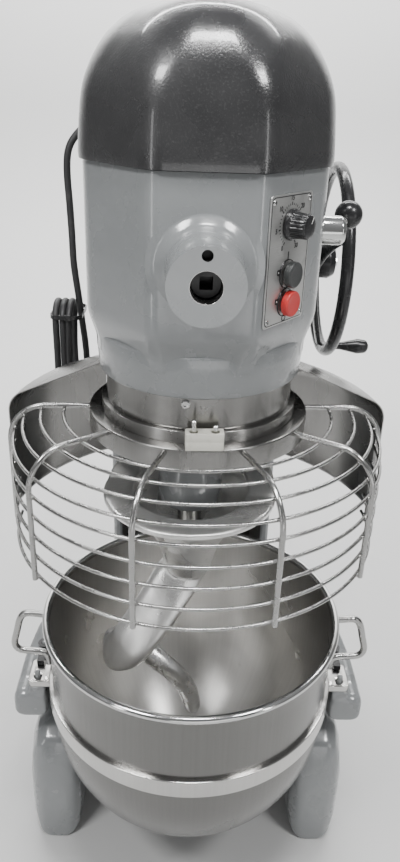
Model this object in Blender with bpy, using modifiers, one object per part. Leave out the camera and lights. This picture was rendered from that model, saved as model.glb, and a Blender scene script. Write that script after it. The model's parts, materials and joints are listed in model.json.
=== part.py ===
"""Floor-standing planetary dough mixer with a 60-quart bowl, a swinging wire guard and a handwheel bowl lift.

Metres. +X is the operator's right, +Y runs from the operator to the back, +Z is up. The origin is on the
floor, on the base casting's underside, under the middle of the column.
"""

import math

import bmesh
import bpy
from mathutils import Matrix, Vector

# ---------------------------------------------------------------- driving dimensions
FIT_GAP = 0.0004  # air between parts that touch
RUN_GAP = 0.0003  # radial air round a shaft

BOWL_Y = -0.445  # the bowl's and the planetary's axis stands this far in front of the column's middle

COLUMN_WIDTH = 0.324
COLUMN_DEPTH = 0.32
COLUMN_WALL = 0.012
COLUMN_BOTTOM = 0.30
COLUMN_FRONT = -COLUMN_DEPTH / 2

HEAD_FLOOR = 1.0  # underside of the transmission case
HEAD_SEAM = 1.243  # where the motor cover meets the case
HEAD_TOP = 1.425
HEAD_HALF_WIDTH = 0.1555
HEAD_REAR_HALF_WIDTH = 0.162
HEAD_FRONT = BOWL_Y - 0.155
HEAD_BACK = 0.16
HEAD_WALL = 0.010
COVER_WALL = 0.004

NECK_RADIUS = 0.142
NECK_BOTTOM = 0.972
COLLAR_RADIUS = 0.134
COLLAR_BOTTOM = 0.920

HUB_HEIGHT = 1.138
HUB_FACE = BOWL_Y - 0.252
HUB_RADIUS = 0.042
HUB_BORE = 0.018

CHAMFER_START = Vector((0.065, HEAD_FRONT, 0.0))  # front edge of the case's slanting right face
CHAMFER_TURN = math.radians(51)  # how far that face is turned from the front
PLATE_WIDTH = 0.090
PLATE_HEIGHT = 0.156
PLATE_THICKNESS = 0.002
PLATE_CENTRE_ALONG = 0.054
PLATE_CENTRE_HEIGHT = 1.1405
TIMER_HEIGHT = 1.183
START_HEIGHT = 1.1245
STOP_HEIGHT = 1.089
BUTTON_RADIUS = 0.016
BUTTON_TRAVEL = 0.003

BOWL_RADIUS = 0.240
BOWL_SHEET = 0.0022
BOWL_RIM = 0.526
BOWL_ROUND_CENTRE = 0.345  # centre of the bowl's round bottom
BAND_BOTTOM = 0.363
BAND_TOP = 0.395
BAND_RADIUS = 0.2465
EAR_THICKNESS = 0.0125
EAR_X = 0.268

GUARD_TURN = math.radians(2.5)  # the wire guard stands slightly turned to the operator's right
GUARD_RADIUS = 0.280
GUARD_RING_RADIUS = 0.160
GUARD_RING_TOP = 0.9025
GUARD_RING_BOTTOM = 0.872
GUARD_ROD = 0.004
GUARD_HOOP = 0.0027
GUARD_ARC = math.radians(92)
GUARD_BOTTOM = 0.7035
GUARD_HOOP_PITCH = 0.0315
GUARD_ROD_TURNS = (-90.0, -54.5, -18.9, 18.9, 54.5, 90.0)
REAR_GUARD_RADIUS = 0.294
REAR_GUARD_SHEET = 0.002

ORBIT = 0.063  # from the planetary's axis to the agitator's: half the module times the teeth's difference
ORBIT_TURN = math.radians(-8.5)  # where the agitator stands now, from straight ahead
AGITATOR_SHAFT = 0.0175
GEAR_MODULE = 0.006
RING_TEETH = 31
AGITATOR_TEETH = 10
DRIVE_TEETH = 36
MOTOR_TEETH = 10
MOTOR_RADIUS = 0.088

HUB_BEVEL = 0.050  # pitch radius of the bevel pinion on the horizontal shaft
MAIN_BEVEL = 0.070  # pitch radius of the bevel wheel on the planetary's shaft
BEVEL_FACE = 0.018

WHEEL_Y = BOWL_Y + 0.32
WHEEL_Z = 1.05
WHEEL_X = 0.235
WHEEL_RADIUS = 0.159
WHEEL_RIM = 0.011
WHEEL_SHAFT = 0.011
LIFT_SCREW = 0.014
LIFT_BEVEL = 0.030

SHIFT_BOSS = Vector((0.1804, BOWL_Y, 1.1585))
SHIFT_KNOB = Vector((0.1998, BOWL_Y + 0.035, 1.1740))
SHIFT_KNOB_RADIUS = 0.0193

CORD_RADIUS = 0.006
GLAND = Vector((-0.1645, BOWL_Y + 0.30, 1.2843))
HANK = Vector((-0.2330, BOWL_Y + 0.285, 0.8705))
HANK_LENGTH = 0.215
HANK_WIDTH = 0.084
HANK_THICKNESS = 0.052

# ---------------------------------------------------------------- colours: base colour, roughness, metallic
FINISHES = {
    "grey_enamel": ((0.30, 0.33, 0.34), 0.35, 0.0),
    "charcoal_enamel": ((0.07, 0.07, 0.07), 0.35, 0.0),
    "stainless": ((0.55, 0.54, 0.52), 0.30, 1.0),
    "polished_steel": ((0.72, 0.72, 0.72), 0.12, 1.0),
    "cast_aluminium": ((0.62, 0.61, 0.60), 0.40, 1.0),
    "machined_steel": ((0.45, 0.45, 0.45), 0.35, 1.0),
    "bronze": ((0.55, 0.38, 0.18), 0.40, 1.0),
    "black_plastic": ((0.02, 0.02, 0.02), 0.30, 0.0),
    "dark_grey_plastic": ((0.06, 0.06, 0.06), 0.45, 0.0),
    "red_plastic": ((0.65, 0.04, 0.04), 0.40, 0.0),
    "white_nylon": ((0.75, 0.74, 0.68), 0.50, 0.0),
    "black_rubber": ((0.03, 0.03, 0.03), 0.60, 0.0),
    "copper_windings": ((0.50, 0.24, 0.12), 0.45, 1.0),
}

X_AXIS = Matrix.Rotation(math.pi / 2, 4, "Y")  # turns a shape made along +Z to +X
Y_AXIS = Matrix.Rotation(-math.pi / 2, 4, "X")  # turns a shape made along +Z to +Y
Z_AXIS = Matrix.Identity(4)


# ---------------------------------------------------------------- scene helpers
def empty_scene():
    for obj in list(bpy.data.objects):
        bpy.data.objects.remove(obj, do_unlink=True)


def new_collection(name):
    collection = bpy.data.collections.new(name)
    bpy.context.scene.collection.children.link(collection)
    return collection


def finish(name):
    material = bpy.data.materials.get(name)
    if material is None:
        colour, roughness, metallic = FINISHES[name]
        material = bpy.data.materials.new(name)
        material.use_nodes = True
        shader = material.node_tree.nodes["Principled BSDF"]
        shader.inputs["Base Color"].default_value = (*colour, 1.0)
        shader.inputs["Roughness"].default_value = roughness
        shader.inputs["Metallic"].default_value = metallic
    return material


def place(name, data, look, origin=(0, 0, 0)):
    """Puts a mesh or curve in the scene. Without a look it is a cutter or a guide."""
    obj = bpy.data.objects.new(name, data)
    obj.location = origin
    if look is None:
        CUTTERS.objects.link(obj)
        obj.hide_render = True
        obj.display_type = "WIRE"
    else:
        PARTS.objects.link(obj)
        data.materials.append(finish(look))
    return obj


def to_mesh(bm, name, smooth=True):
    bmesh.ops.recalc_face_normals(bm, faces=bm.faces)
    mesh = bpy.data.meshes.new(name)
    bm.to_mesh(mesh)
    bm.free()
    if smooth:
        mesh.shade_smooth()
        mesh.set_sharp_from_angle(angle=math.radians(35))
    return mesh


def boolean(obj, other, operation):
    modifier = obj.modifiers.new(f"{operation.lower()} {other.name}", "BOOLEAN")
    modifier.operation = operation
    modifier.solver = "EXACT"
    modifier.object = other


def cut(obj, *others):
    for other in others:
        boolean(obj, other, "DIFFERENCE")


def join(obj, *others):
    for other in others:
        boolean(obj, other, "UNION")


def round_edges(obj, width, segments=2):
    bevel = obj.modifiers.new("rounded edges", "BEVEL")
    bevel.width = width
    bevel.segments = segments
    bevel.limit_method = "ANGLE"
    bevel.angle_limit = math.radians(40)


# ---------------------------------------------------------------- shape helpers
def box(name, low, high, look, origin=(0, 0, 0), turn=Z_AXIS):
    """A box between two corners, in the frame given by origin and turn."""
    low = Vector(low)
    high = Vector(high)
    size = high - low
    bm = bmesh.new()
    scale = Matrix.Diagonal((*size, 1.0))
    bmesh.ops.create_cube(bm, size=1.0, matrix=turn @ Matrix.Translation((low + high) / 2) @ scale)
    return place(name, to_mesh(bm, name, smooth=False), look, origin)


def cylinder(name, radius, start, end, look, origin=(0, 0, 0), turn=Z_AXIS, segments=24, end_radius=None):
    """A cylinder or cone along its turned Z axis, from start to end."""
    bm = bmesh.new()
    bmesh.ops.create_cone(
        bm,
        cap_ends=True,
        segments=segments,
        radius1=radius,
        radius2=radius if end_radius is None else end_radius,
        depth=end - start,
        matrix=turn @ Matrix.Translation((0, 0, (start + end) / 2)),
    )
    return place(name, to_mesh(bm, name), look, origin)


def turned(name, profile, look, origin=(0, 0, 0), turn=Z_AXIS, steps=32, ring=False):
    """A profile of (radius, height) points turned about Z. A ring's profile closes on itself."""
    count = len(profile)
    area = sum(r0 * z1 - r1 * z0 for (r0, z0), (r1, z1) in zip(profile, profile[1:] + profile[:1]))
    if area > 0:  # the outer side has to run downwards for the faces to point out
        profile = list(reversed(profile))
    edges = [(i, i + 1) for i in range(count - 1)]
    if ring:
        edges.append((count - 1, 0))
    mesh = bpy.data.meshes.new(name)
    mesh.from_pydata([(radius, 0, height) for radius, height in profile], edges, [])
    obj = place(name, mesh, look, origin)
    obj.rotation_euler = turn.to_euler()
    screw = obj.modifiers.new("turn", "SCREW")
    screw.steps = steps
    screw.render_steps = steps
    screw.use_merge_vertices = True
    screw.merge_threshold = 0.00001
    return obj


def ring(name, inner, outer, start, end, look, origin=(0, 0, 0), turn=Z_AXIS, steps=24):
    profile = [(inner, end), (outer, end), (outer, start), (inner, start)]
    return turned(name, profile, look, origin, turn, steps, ring=True)


def curve_data(name, splines, cyclic):
    curve = bpy.data.curves.new(name, "CURVE")
    for points in splines:
        spline = curve.splines.new("POLY")
        spline.points.add(len(points) - 1)
        for slot, point in zip(spline.points, points):
            slot.co = (*point, 1.0) if len(point) == 3 else (*point, 0.0, 1.0)
        spline.use_cyclic_u = cyclic
    return curve


def tube(name, points, radius, look, origin=(0, 0, 0), resolution=2):
    curve = curve_data(name, [points], cyclic=False)
    curve.dimensions = "3D"
    curve.bevel_depth = radius
    curve.bevel_resolution = resolution
    curve.use_fill_caps = True
    return place(name, curve, look, origin)


def plate(name, outlines, start, end, look, origin=(0, 0, 0), turn=Z_AXIS):
    """A flat outline with any holes, extruded along its turned Z axis from start to end."""
    curve = curve_data(name, outlines, cyclic=True)
    curve.dimensions = "2D"
    curve.fill_mode = "BOTH"
    curve.extrude = (end - start) / 2
    obj = place(name, curve, look)
    obj.matrix_world = Matrix.Translation(origin) @ turn @ Matrix.Translation((0, 0, (start + end) / 2))
    return obj


def as_mesh(obj):
    """Makes a curve object a mesh object, with its caps welded on."""
    bpy.context.view_layer.update()
    evaluated = obj.evaluated_get(bpy.context.evaluated_depsgraph_get())
    mesh = bpy.data.meshes.new_from_object(evaluated)
    bm = bmesh.new()
    bm.from_mesh(mesh)
    bmesh.ops.remove_doubles(bm, verts=bm.verts, dist=0.00001)
    bmesh.ops.recalc_face_normals(bm, faces=bm.faces)
    bm.to_mesh(mesh)
    bm.free()
    made = bpy.data.objects.new(obj.name, mesh)
    made.matrix_world = obj.matrix_world.copy()
    made.hide_render = obj.hide_render
    made.display_type = obj.display_type
    obj.users_collection[0].objects.link(made)
    name = obj.name
    bpy.data.objects.remove(obj, do_unlink=True)
    made.name = name
    return made


def loft(name, sections, look, origin=(0, 0, 0), closed=False):
    """Skins a row of sections that have the same number of points."""
    bm = bmesh.new()
    rows = [[bm.verts.new(point) for point in section] for section in sections]
    pairs = list(zip(rows, rows[1:]))
    if closed:
        pairs.append((rows[-1], rows[0]))
    else:
        bm.faces.new(rows[0])
        bm.faces.new(rows[-1])
    for row, following in pairs:
        for i, vertex in enumerate(row):
            neighbour = (i + 1) % len(row)
            bm.faces.new((vertex, row[neighbour], following[neighbour], following[i]))
    return place(name, to_mesh(bm, name), look, origin)


def rounded_section(centre, side, up, half_side, half_up, power=4.0, count=16):
    """A rounded rectangle of count points about a centre, in the plane of side and up."""
    points = []
    for i in range(count):
        angle = 2 * math.pi * (i + 0.5) / count
        across = math.copysign(abs(math.cos(angle)) ** (2 / power), math.cos(angle))
        along = math.copysign(abs(math.sin(angle)) ** (2 / power), math.sin(angle))
        points.append(Vector(centre) + Vector(side) * half_side * across + Vector(up) * half_up * along)
    return points


def smooth_route(points, spacing):
    """Points at even distances along a smooth curve through hand-chosen points."""
    ends = [2 * points[0] - points[1], *points, 2 * points[-1] - points[-2]]
    dense = []
    for before, start, end, after in zip(ends, ends[1:], ends[2:], ends[3:]):
        for k in range(16):
            t = k / 16
            dense.append(
                0.5
                * (
                    2 * start
                    + (end - before) * t
                    + (2 * before - 5 * start + 4 * end - after) * t * t
                    + (3 * start - before - 3 * end + after) * t**3
                )
            )
    dense.append(points[-1])
    length = sum((b - a).length for a, b in zip(dense, dense[1:]))
    count = max(2, round(length / spacing))
    step = length / count
    route = [dense[0]]
    travelled = 0.0
    for a, b in zip(dense, dense[1:]):
        span = (b - a).length
        while len(route) < count and travelled + span >= step * len(route):
            route.append(a.lerp(b, (step * len(route) - travelled) / span))
        travelled += span
    route.append(dense[-1])
    return route


def circle(radius, count=24):
    return [(radius * math.cos(2 * math.pi * i / count), radius * math.sin(2 * math.pi * i / count)) for i in range(count)]


def gear_outline(teeth, module, internal=False, turn=0.0):
    """Straight-sided teeth with some backlash. turn sets a tooth (or an internal gear's gap) at that angle."""
    pitch_radius = teeth * module / 2
    crest = pitch_radius + module * 0.8
    root = pitch_radius - module * 1.1
    if internal:
        crest = pitch_radius + module * 1.1
        root = pitch_radius - module * 0.8
    pitch = 2 * math.pi / teeth
    crest_half = pitch * (0.17 if internal else 0.10)
    root_half = pitch * (0.32 if internal else 0.27)
    points = []
    for tooth in range(teeth):
        middle = turn + tooth * pitch
        for offset, radius in ((-root_half, root), (-crest_half, crest), (crest_half, crest), (root_half, root)):
            points.append((radius * math.cos(middle + offset), radius * math.sin(middle + offset)))
    return points


def around(radius, turn, height=0.0):
    """A point at a turn from straight ahead of the bowl's axis, positive towards +X."""
    return Vector((radius * math.sin(turn), BOWL_Y - radius * math.cos(turn), height))


AGITATOR = around(ORBIT, ORBIT_TURN)


# ---------------------------------------------------------------- base and column
def leg(name, side):
    """A rounded boot under the bowl support that runs back along the floor to the base block."""
    stations = (
        # y from the bowl's axis, x, half width, top
        (-0.050, 0.246, 0.026, 0.150),
        (-0.044, 0.246, 0.038, 0.200),
        (-0.028, 0.246, 0.046, 0.236),
        (0.010, 0.246, 0.0490, 0.258),
        (0.080, 0.246, 0.0490, 0.255),
        (0.170, 0.240, 0.048, 0.230),
        (0.270, 0.214, 0.052, 0.215),
        (0.420, 0.178, 0.056, 0.200),
        (0.600, 0.166, 0.056, 0.165),
        (0.660, 0.166, 0.052, 0.130),
    )
    sections = []
    for y, x, half_width, top in stations:
        sunk = 0.02
        centre = (side * x, BOWL_Y + y, (top - sunk) / 2)
        section = rounded_section(centre, (1, 0, 0), (0, 0, 1), half_width, (top + sunk) / 2, 3.4)
        for point in section:
            point.z = max(point.z, 0.0)
        sections.append(section)
    return loft(name, sections, None)


def base_casting():
    block = box("base_casting", (-0.19, -0.185, 0.0), (0.19, 0.225, 0.14), "grey_enamel")
    round_edges(block, 0.012, 2)
    flare = []
    for height, grow in ((0.12, 0.024), (0.20, 0.014), (0.26, 0.004), (COLUMN_BOTTOM, 0.0)):
        flare.append(
            rounded_section(
                (0, 0, height), (1, 0, 0), (0, 1, 0), COLUMN_WIDTH / 2 + grow, COLUMN_DEPTH / 2 + grow, 9.0, 32
            )
        )
    join(block, loft("pedestal flare", flare, None), leg("left boot", -1), leg("right boot", 1))
    for side in (-1, 1):
        name = "left pocket" if side < 0 else "right pocket"
        low_x, high_x = sorted((side * 0.025, side * 0.170))
        cut(block, box(name, (low_x, -0.165, -0.01), (high_x, 0.205, 0.125), None))
    bowl_room = bmesh.new()
    centre = Matrix.Translation((0, BOWL_Y, BOWL_ROUND_CENTRE))
    bmesh.ops.create_uvsphere(bowl_room, u_segments=32, v_segments=16, radius=BOWL_RADIUS + 0.008, matrix=centre)
    cut(block, place("room for the bowl", to_mesh(bowl_room, "room for the bowl"), None))


def column():
    half = COLUMN_WIDTH / 2
    shell = box(
        "column_casting",
        (-half, -COLUMN_DEPTH / 2, COLUMN_BOTTOM + FIT_GAP),
        (half, COLUMN_DEPTH / 2, HEAD_FLOOR - FIT_GAP),
        "grey_enamel",
    )
    round_edges(shell, 0.014, 3)
    inside = half - COLUMN_WALL
    inside_depth = COLUMN_DEPTH / 2 - COLUMN_WALL
    cut(
        shell,
        box("column hollow", (-inside, -inside_depth, 0.2), (inside, inside_depth, 1.1), None),
        box("lift slot", (-0.034, COLUMN_FRONT - 0.01, 0.31), (0.034, COLUMN_FRONT + 0.03, 0.60), None),
        box("rear opening", (-0.10, COLUMN_DEPTH / 2 - 0.03, 0.42), (0.10, COLUMN_DEPTH / 2 + 0.01, 0.86), None),
    )
    back = COLUMN_DEPTH / 2 + FIT_GAP
    cover = box("column_rear_cover", (-0.118, back, 0.40), (0.118, back + 0.004, 0.88), "grey_enamel")
    round_edges(cover, 0.0015, 1)
    for side in (-1, 1):
        name = "slideway_left" if side < 0 else "slideway_right"
        low_x, high_x = sorted((side * 0.098, side * 0.142))
        strip = box(
            name,
            (low_x, COLUMN_FRONT - 0.0117, COLUMN_BOTTOM + 0.005),
            (high_x, COLUMN_FRONT - FIT_GAP, 0.90),
            "machined_steel",
        )
        groove_low, groove_high = sorted((side * 0.112, side * 0.120))
        cut(
            strip,
            box(f"{name} groove", (groove_low, COLUMN_FRONT - 0.02, 0.1), (groove_high, COLUMN_FRONT - 0.007, 1.0), None),
        )


# ---------------------------------------------------------------- head
def head_outline():
    """The case's plan: a flat front, two slanting faces, straight sides and a rounded back."""
    slant = Vector((math.cos(CHAMFER_TURN), math.sin(CHAMFER_TURN)))
    corner = Vector((CHAMFER_START.x, HEAD_FRONT))
    right = [
        (0.0, HEAD_FRONT),
        (0.057, HEAD_FRONT),
        tuple(corner + Vector((0.0, 0.0008))),
        tuple(corner + slant * 0.008),
        tuple(corner + slant * 0.110),
        (0.1445, HEAD_FRONT + 0.105),
        (0.1510, HEAD_FRONT + 0.127),
        (0.1545, HEAD_FRONT + 0.152),
        (HEAD_HALF_WIDTH, HEAD_FRONT + 0.180),
        (HEAD_REAR_HALF_WIDTH, 0.0),
        (HEAD_REAR_HALF_WIDTH, HEAD_BACK - 0.07),
        (0.158, HEAD_BACK - 0.030),
        (0.132, HEAD_BACK - 0.008),
        (0.10, HEAD_BACK),
        (0.0, HEAD_BACK),
    ]
    left = [(-x, y) for x, y in reversed(right[1:-1])]
    return right + left


def head_section(height, inset):
    middle = (HEAD_FRONT + HEAD_BACK) / 2
    half_depth = (HEAD_BACK - HEAD_FRONT) / 2
    across = (HEAD_HALF_WIDTH - inset) / HEAD_HALF_WIDTH
    along = (half_depth - inset) / half_depth
    return [Vector((x * across, middle + (y - middle) * along, height)) for x, y in head_outline()]


def hub_barrel():
    """The round attachment hub that stands out of the case's front, with its stepped bore and pin hole."""
    rear = HUB_FACE + 0.132
    shoulder = BOWL_Y - 0.165
    profile = [
        (HUB_BORE, HUB_FACE),
        (HUB_RADIUS - 0.0015, HUB_FACE),
        (HUB_RADIUS, HUB_FACE + 0.0015),
        (HUB_RADIUS + 0.001, HUB_FACE + 0.055),
        (HUB_RADIUS + 0.004, HUB_FACE + 0.075),
        (HUB_RADIUS + 0.011, HUB_FACE + 0.089),
        (HUB_RADIUS + 0.022, HUB_FACE + 0.0965),
        (HUB_RADIUS + 0.022, HUB_FACE + 0.104),
        (HUB_RADIUS, HUB_FACE + 0.104),
        (HUB_RADIUS, rear),
        (0.030, rear),
        (0.030, shoulder),
        (HUB_BORE, shoulder),
    ]
    barrel = turned("hub barrel", profile, None, (0, 0, HUB_HEIGHT), Y_AXIS, 24, ring=True)
    pin_at = (0, 0, HUB_HEIGHT + 0.0335)
    cut(barrel, cylinder("pin hole", 0.0062, HUB_FACE - 0.01, HUB_FACE + 0.032, None, pin_at, Y_AXIS, 16))
    return barrel


def head_casting():
    floor = HEAD_FLOOR
    outer = [
        head_section(floor, 0.018),
        head_section(floor + 0.006, 0.008),
        head_section(floor + 0.018, 0.002),
        head_section(floor + 0.034, 0.0),
        head_section(HEAD_SEAM, 0.0),
    ]
    inner = [head_section(HEAD_SEAM, HEAD_WALL), head_section(floor + 0.0125, HEAD_WALL + 0.008)]
    case = loft("head_casting", outer + inner, "grey_enamel")
    neck = cylinder("neck", NECK_RADIUS, NECK_BOTTOM, floor + 0.010, None, (0, BOWL_Y, 0), segments=36)
    low = motor_axis() - MOTOR_RADIUS
    cradle = box("motor cradle", (-0.152, BOWL_Y + 0.31, low - 0.022), (0.152, BOWL_Y + 0.43, low + 0.020), None)
    motor_seat = cylinder(
        "motor seat",
        MOTOR_RADIUS + FIT_GAP * 2,
        BOWL_Y + 0.28,
        BOWL_Y + 0.46,
        None,
        (0, 0, motor_axis()),
        Y_AXIS,
        segments=40,
    )
    hub_opening = cylinder("hub opening", 0.036, BOWL_Y - 0.18, BOWL_Y - 0.13, None, (0, 0, HUB_HEIGHT), Y_AXIS)
    cut(case, hub_opening)
    join(case, neck, hub_barrel(), cradle)
    cut(
        case,
        motor_seat,
        cylinder("gear well", 0.118, 0.9, floor + 0.05, None, (0, BOWL_Y, 0), segments=36),
        cylinder("screw hole", 0.016, 0.98, 1.03, None, (0, WHEEL_Y, 0)),
        cylinder("wheel shaft hole", 0.0165, 0.12, 0.2, None, (0, WHEEL_Y, WHEEL_Z), X_AXIS),
        cylinder("shift shaft hole", 0.0125, 0.10, 0.2, None, (0, SHIFT_BOSS.y, SHIFT_BOSS.z), X_AXIS),
        on_slant(box("control window", (-0.031, -0.06, -0.03), (0.031, 0.06, 0.01), None), PLATE_CENTRE_HEIGHT),
    )


def slant_frame(height, along=PLATE_CENTRE_ALONG):
    """A frame on the case's slanting right face: x along the face, y up, z outwards."""
    across = Vector((math.cos(CHAMFER_TURN), math.sin(CHAMFER_TURN), 0.0))
    outward = Vector((math.sin(CHAMFER_TURN), -math.cos(CHAMFER_TURN), 0.0))
    origin = CHAMFER_START + across * along + Vector((0, 0, height))
    return Matrix(
        (
            (across.x, 0.0, outward.x, origin.x),
            (across.y, 0.0, outward.y, origin.y),
            (0.0, 1.0, 0.0, origin.z),
            (0.0, 0.0, 0.0, 1.0),
        )
    )


def on_slant(obj, height):
    obj.matrix_world = slant_frame(height)
    return obj


def motor_cover():
    """The dark rounded cover over the motor: nearly upright sides that turn over into a low crown."""
    rise = HEAD_TOP - HEAD_SEAM
    levels = ((0.0, -0.0050), (0.06, -0.0055), (0.35, -0.0015), (0.52, 0.005), (0.68, 0.018), (0.80, 0.034))
    crown = ((0.895, 0.056), (0.96, 0.086), (0.99, 0.118), (1.0, 0.150))
    bottom = HEAD_SEAM + FIT_GAP
    outer = [head_section(bottom + (rise - FIT_GAP) * up, inset) for up, inset in levels + crown]
    inner = [
        head_section(bottom + (rise - FIT_GAP - COVER_WALL) * up, inset + COVER_WALL)
        for up, inset in reversed(levels[0:5:2] + crown[0:3:2] + ((1.0, 0.143),))
    ]
    # the crown's two caps close the shell at its top, and the mouth is open below
    rings = list(reversed(outer)) + list(reversed(inner))
    cover = loft("motor_cover", rings, "charcoal_enamel")
    cut(
        cover,
        cylinder("gland hole", 0.0105, -0.2, -0.12, None, (0, GLAND.y, GLAND.z), X_AXIS),
    )


def collar_and_track():
    """The polished drip collar under the case and the track that the guard ring turns on."""
    bowl_axis = (0, BOWL_Y, 0)
    top = NECK_BOTTOM - FIT_GAP
    collar = turned(
        "drip_collar",
        [
            (COLLAR_RADIUS - 0.0025, top),
            (COLLAR_RADIUS + 0.002, top),
            (COLLAR_RADIUS + 0.002, top - 0.004),
            (COLLAR_RADIUS, top - 0.006),
            (COLLAR_RADIUS, COLLAR_BOTTOM),
            (COLLAR_RADIUS - 0.0025, COLLAR_BOTTOM),
        ],
        "stainless",
        bowl_axis,
        steps=36,
        ring=True,
    )
    plug_turn = Matrix.Rotation(math.radians(-8), 4, "Z") @ Y_AXIS
    cut(
        collar,
        cylinder("plug hole", 0.0052, -0.15, -0.12, None, (0, BOWL_Y, 0.956), plug_turn),
    )
    turned(
        "collar_plug",
        [(0.0, 0.1375), (0.004, 0.1375), (0.0062, 0.1365), (0.0062, 0.1350), (0.0045, 0.1348), (0.0045, 0.1310), (0.0, 0.1310)],
        "polished_steel",
        (0, BOWL_Y, 0.956),
        Matrix.Rotation(math.radians(-8), 4, "Z") @ Matrix.Rotation(math.pi / 2, 4, "X"),
        16,
    )
    lip = GUARD_RING_TOP - 0.005
    turned(
        "guard_track",
        [
            (0.1322, COLLAR_BOTTOM - FIT_GAP),
            (0.1418, COLLAR_BOTTOM - FIT_GAP),
            (0.1418, lip),
            (0.1520, lip),
            (0.1520, lip - 0.008),
            (0.1322, lip - 0.008),
        ],
        "stainless",
        bowl_axis,
        steps=36,
        ring=True,
    )


def rear_guard(name, side):
    """A bent stainless sheet on each side of the column that closes the guard's back."""
    outline = [(0.1362, 0.960), (0.200, 0.9315), (0.258, 0.905), (0.278, 0.893), (0.290, 0.876), (0.294, 0.856), (0.294, 0.700)]
    shelled = [(radius - 0.0012, height - REAR_GUARD_SHEET) for radius, height in outline[:4]]
    shelled += [(radius - REAR_GUARD_SHEET, height - 0.0005) for radius, height in outline[4:6]]
    shelled += [(outline[6][0] - REAR_GUARD_SHEET, outline[6][1])]
    section = outline + list(reversed(shelled))
    start, end, count = math.radians(97), math.radians(146), 9
    sections = []
    for i in range(count):
        turn = side * (start + (end - start) * i / (count - 1))
        sections.append([around(radius, turn, height) for radius, height in section])
    loft(name, sections, "stainless")


def wire_hoops():
    """The guard's hoops as (radius, height) pairs, from the ring down."""
    rows = [(0.198, 0.8925), (0.231, 0.8905), (0.2565, 0.8795), (0.2710, 0.8590)]
    rows += [(GUARD_RADIUS - 0.0055, 0.833 - GUARD_HOOP_PITCH * i) for i in range(5)]
    return rows


def wire_guard():
    """Six rods that leave the guard ring and bend down, with nine thinner hoops welded inside them."""
    bend = 0.055
    bend_x = GUARD_RADIUS - bend
    level = 0.896
    wires = new_collection("guard wires")
    rods = []
    for i in range(6):
        turn = GUARD_TURN + math.radians(GUARD_ROD_TURNS[i])
        path = [(GUARD_RING_RADIUS + 0.0007, level), (bend_x, level)]
        for k in range(1, 5):
            angle = math.radians(22.5 * k)
            path.append((bend_x + bend * math.sin(angle), level - bend + bend * math.cos(angle)))
        path.append((GUARD_RADIUS, GUARD_BOTTOM))
        points = [around(radius, turn, height) for radius, height in path]
        rods.append(as_mesh(tube(f"guard rod {i}", points, GUARD_ROD, None, resolution=1)))
    turns = [-GUARD_ARC] + [math.radians(12 * k - 90) for k in range(16)] + [GUARD_ARC]
    for number, (radius, height) in enumerate(wire_hoops()):
        points = [around(radius, GUARD_TURN + turn, height) for turn in turns]
        rods.append(as_mesh(tube(f"guard hoop {number}", points, GUARD_HOOP, None, resolution=1)))
    first = rods.pop(0)
    for rod in rods:
        CUTTERS.objects.unlink(rod)
        wires.objects.link(rod)
    guard = place("wire_guard", first.data, "stainless")
    bpy.data.objects.remove(first, do_unlink=True)
    weld = guard.modifiers.new("welded wires", "BOOLEAN")
    weld.operation = "UNION"
    weld.solver = "EXACT"
    weld.operand_type = "COLLECTION"
    weld.collection = wires


def guard_ring():
    """The turning ring that carries the wires, and the nylon block with its two pins on the front of it."""
    bowl_axis = (0, BOWL_Y, 0)
    outer = GUARD_RING_RADIUS
    turned(
        "guard_ring",
        [
            (0.1424, GUARD_RING_TOP),
            (outer - 0.0015, GUARD_RING_TOP),
            (outer, GUARD_RING_TOP - 0.0015),
            (outer, GUARD_RING_BOTTOM),
            (outer - 0.003, GUARD_RING_BOTTOM),
            (outer - 0.003, GUARD_RING_TOP - 0.004),
            (0.1424, GUARD_RING_TOP - 0.004),
        ],
        "stainless",
        bowl_axis,
        steps=40,
        ring=True,
    )
    turn = Matrix.Rotation(GUARD_TURN, 4, "Z")
    block = box(
        "guard_latch_block",
        (-0.025, -0.162, GUARD_RING_TOP + FIT_GAP),
        (0.025, -0.1435, 0.927),
        "white_nylon",
        bowl_axis,
        turn,
    )
    round_edges(block, 0.0015, 2)
    for x, top, name in ((-0.0140, 0.943, "latch_pin_left"), (0.0140, 0.936, "latch_pin_right")):
        cylinder(name, 0.0036, 0.927 + FIT_GAP, top, "polished_steel", bowl_axis, turn @ Matrix.Translation((x, -0.152, 0)), 12)


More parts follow.
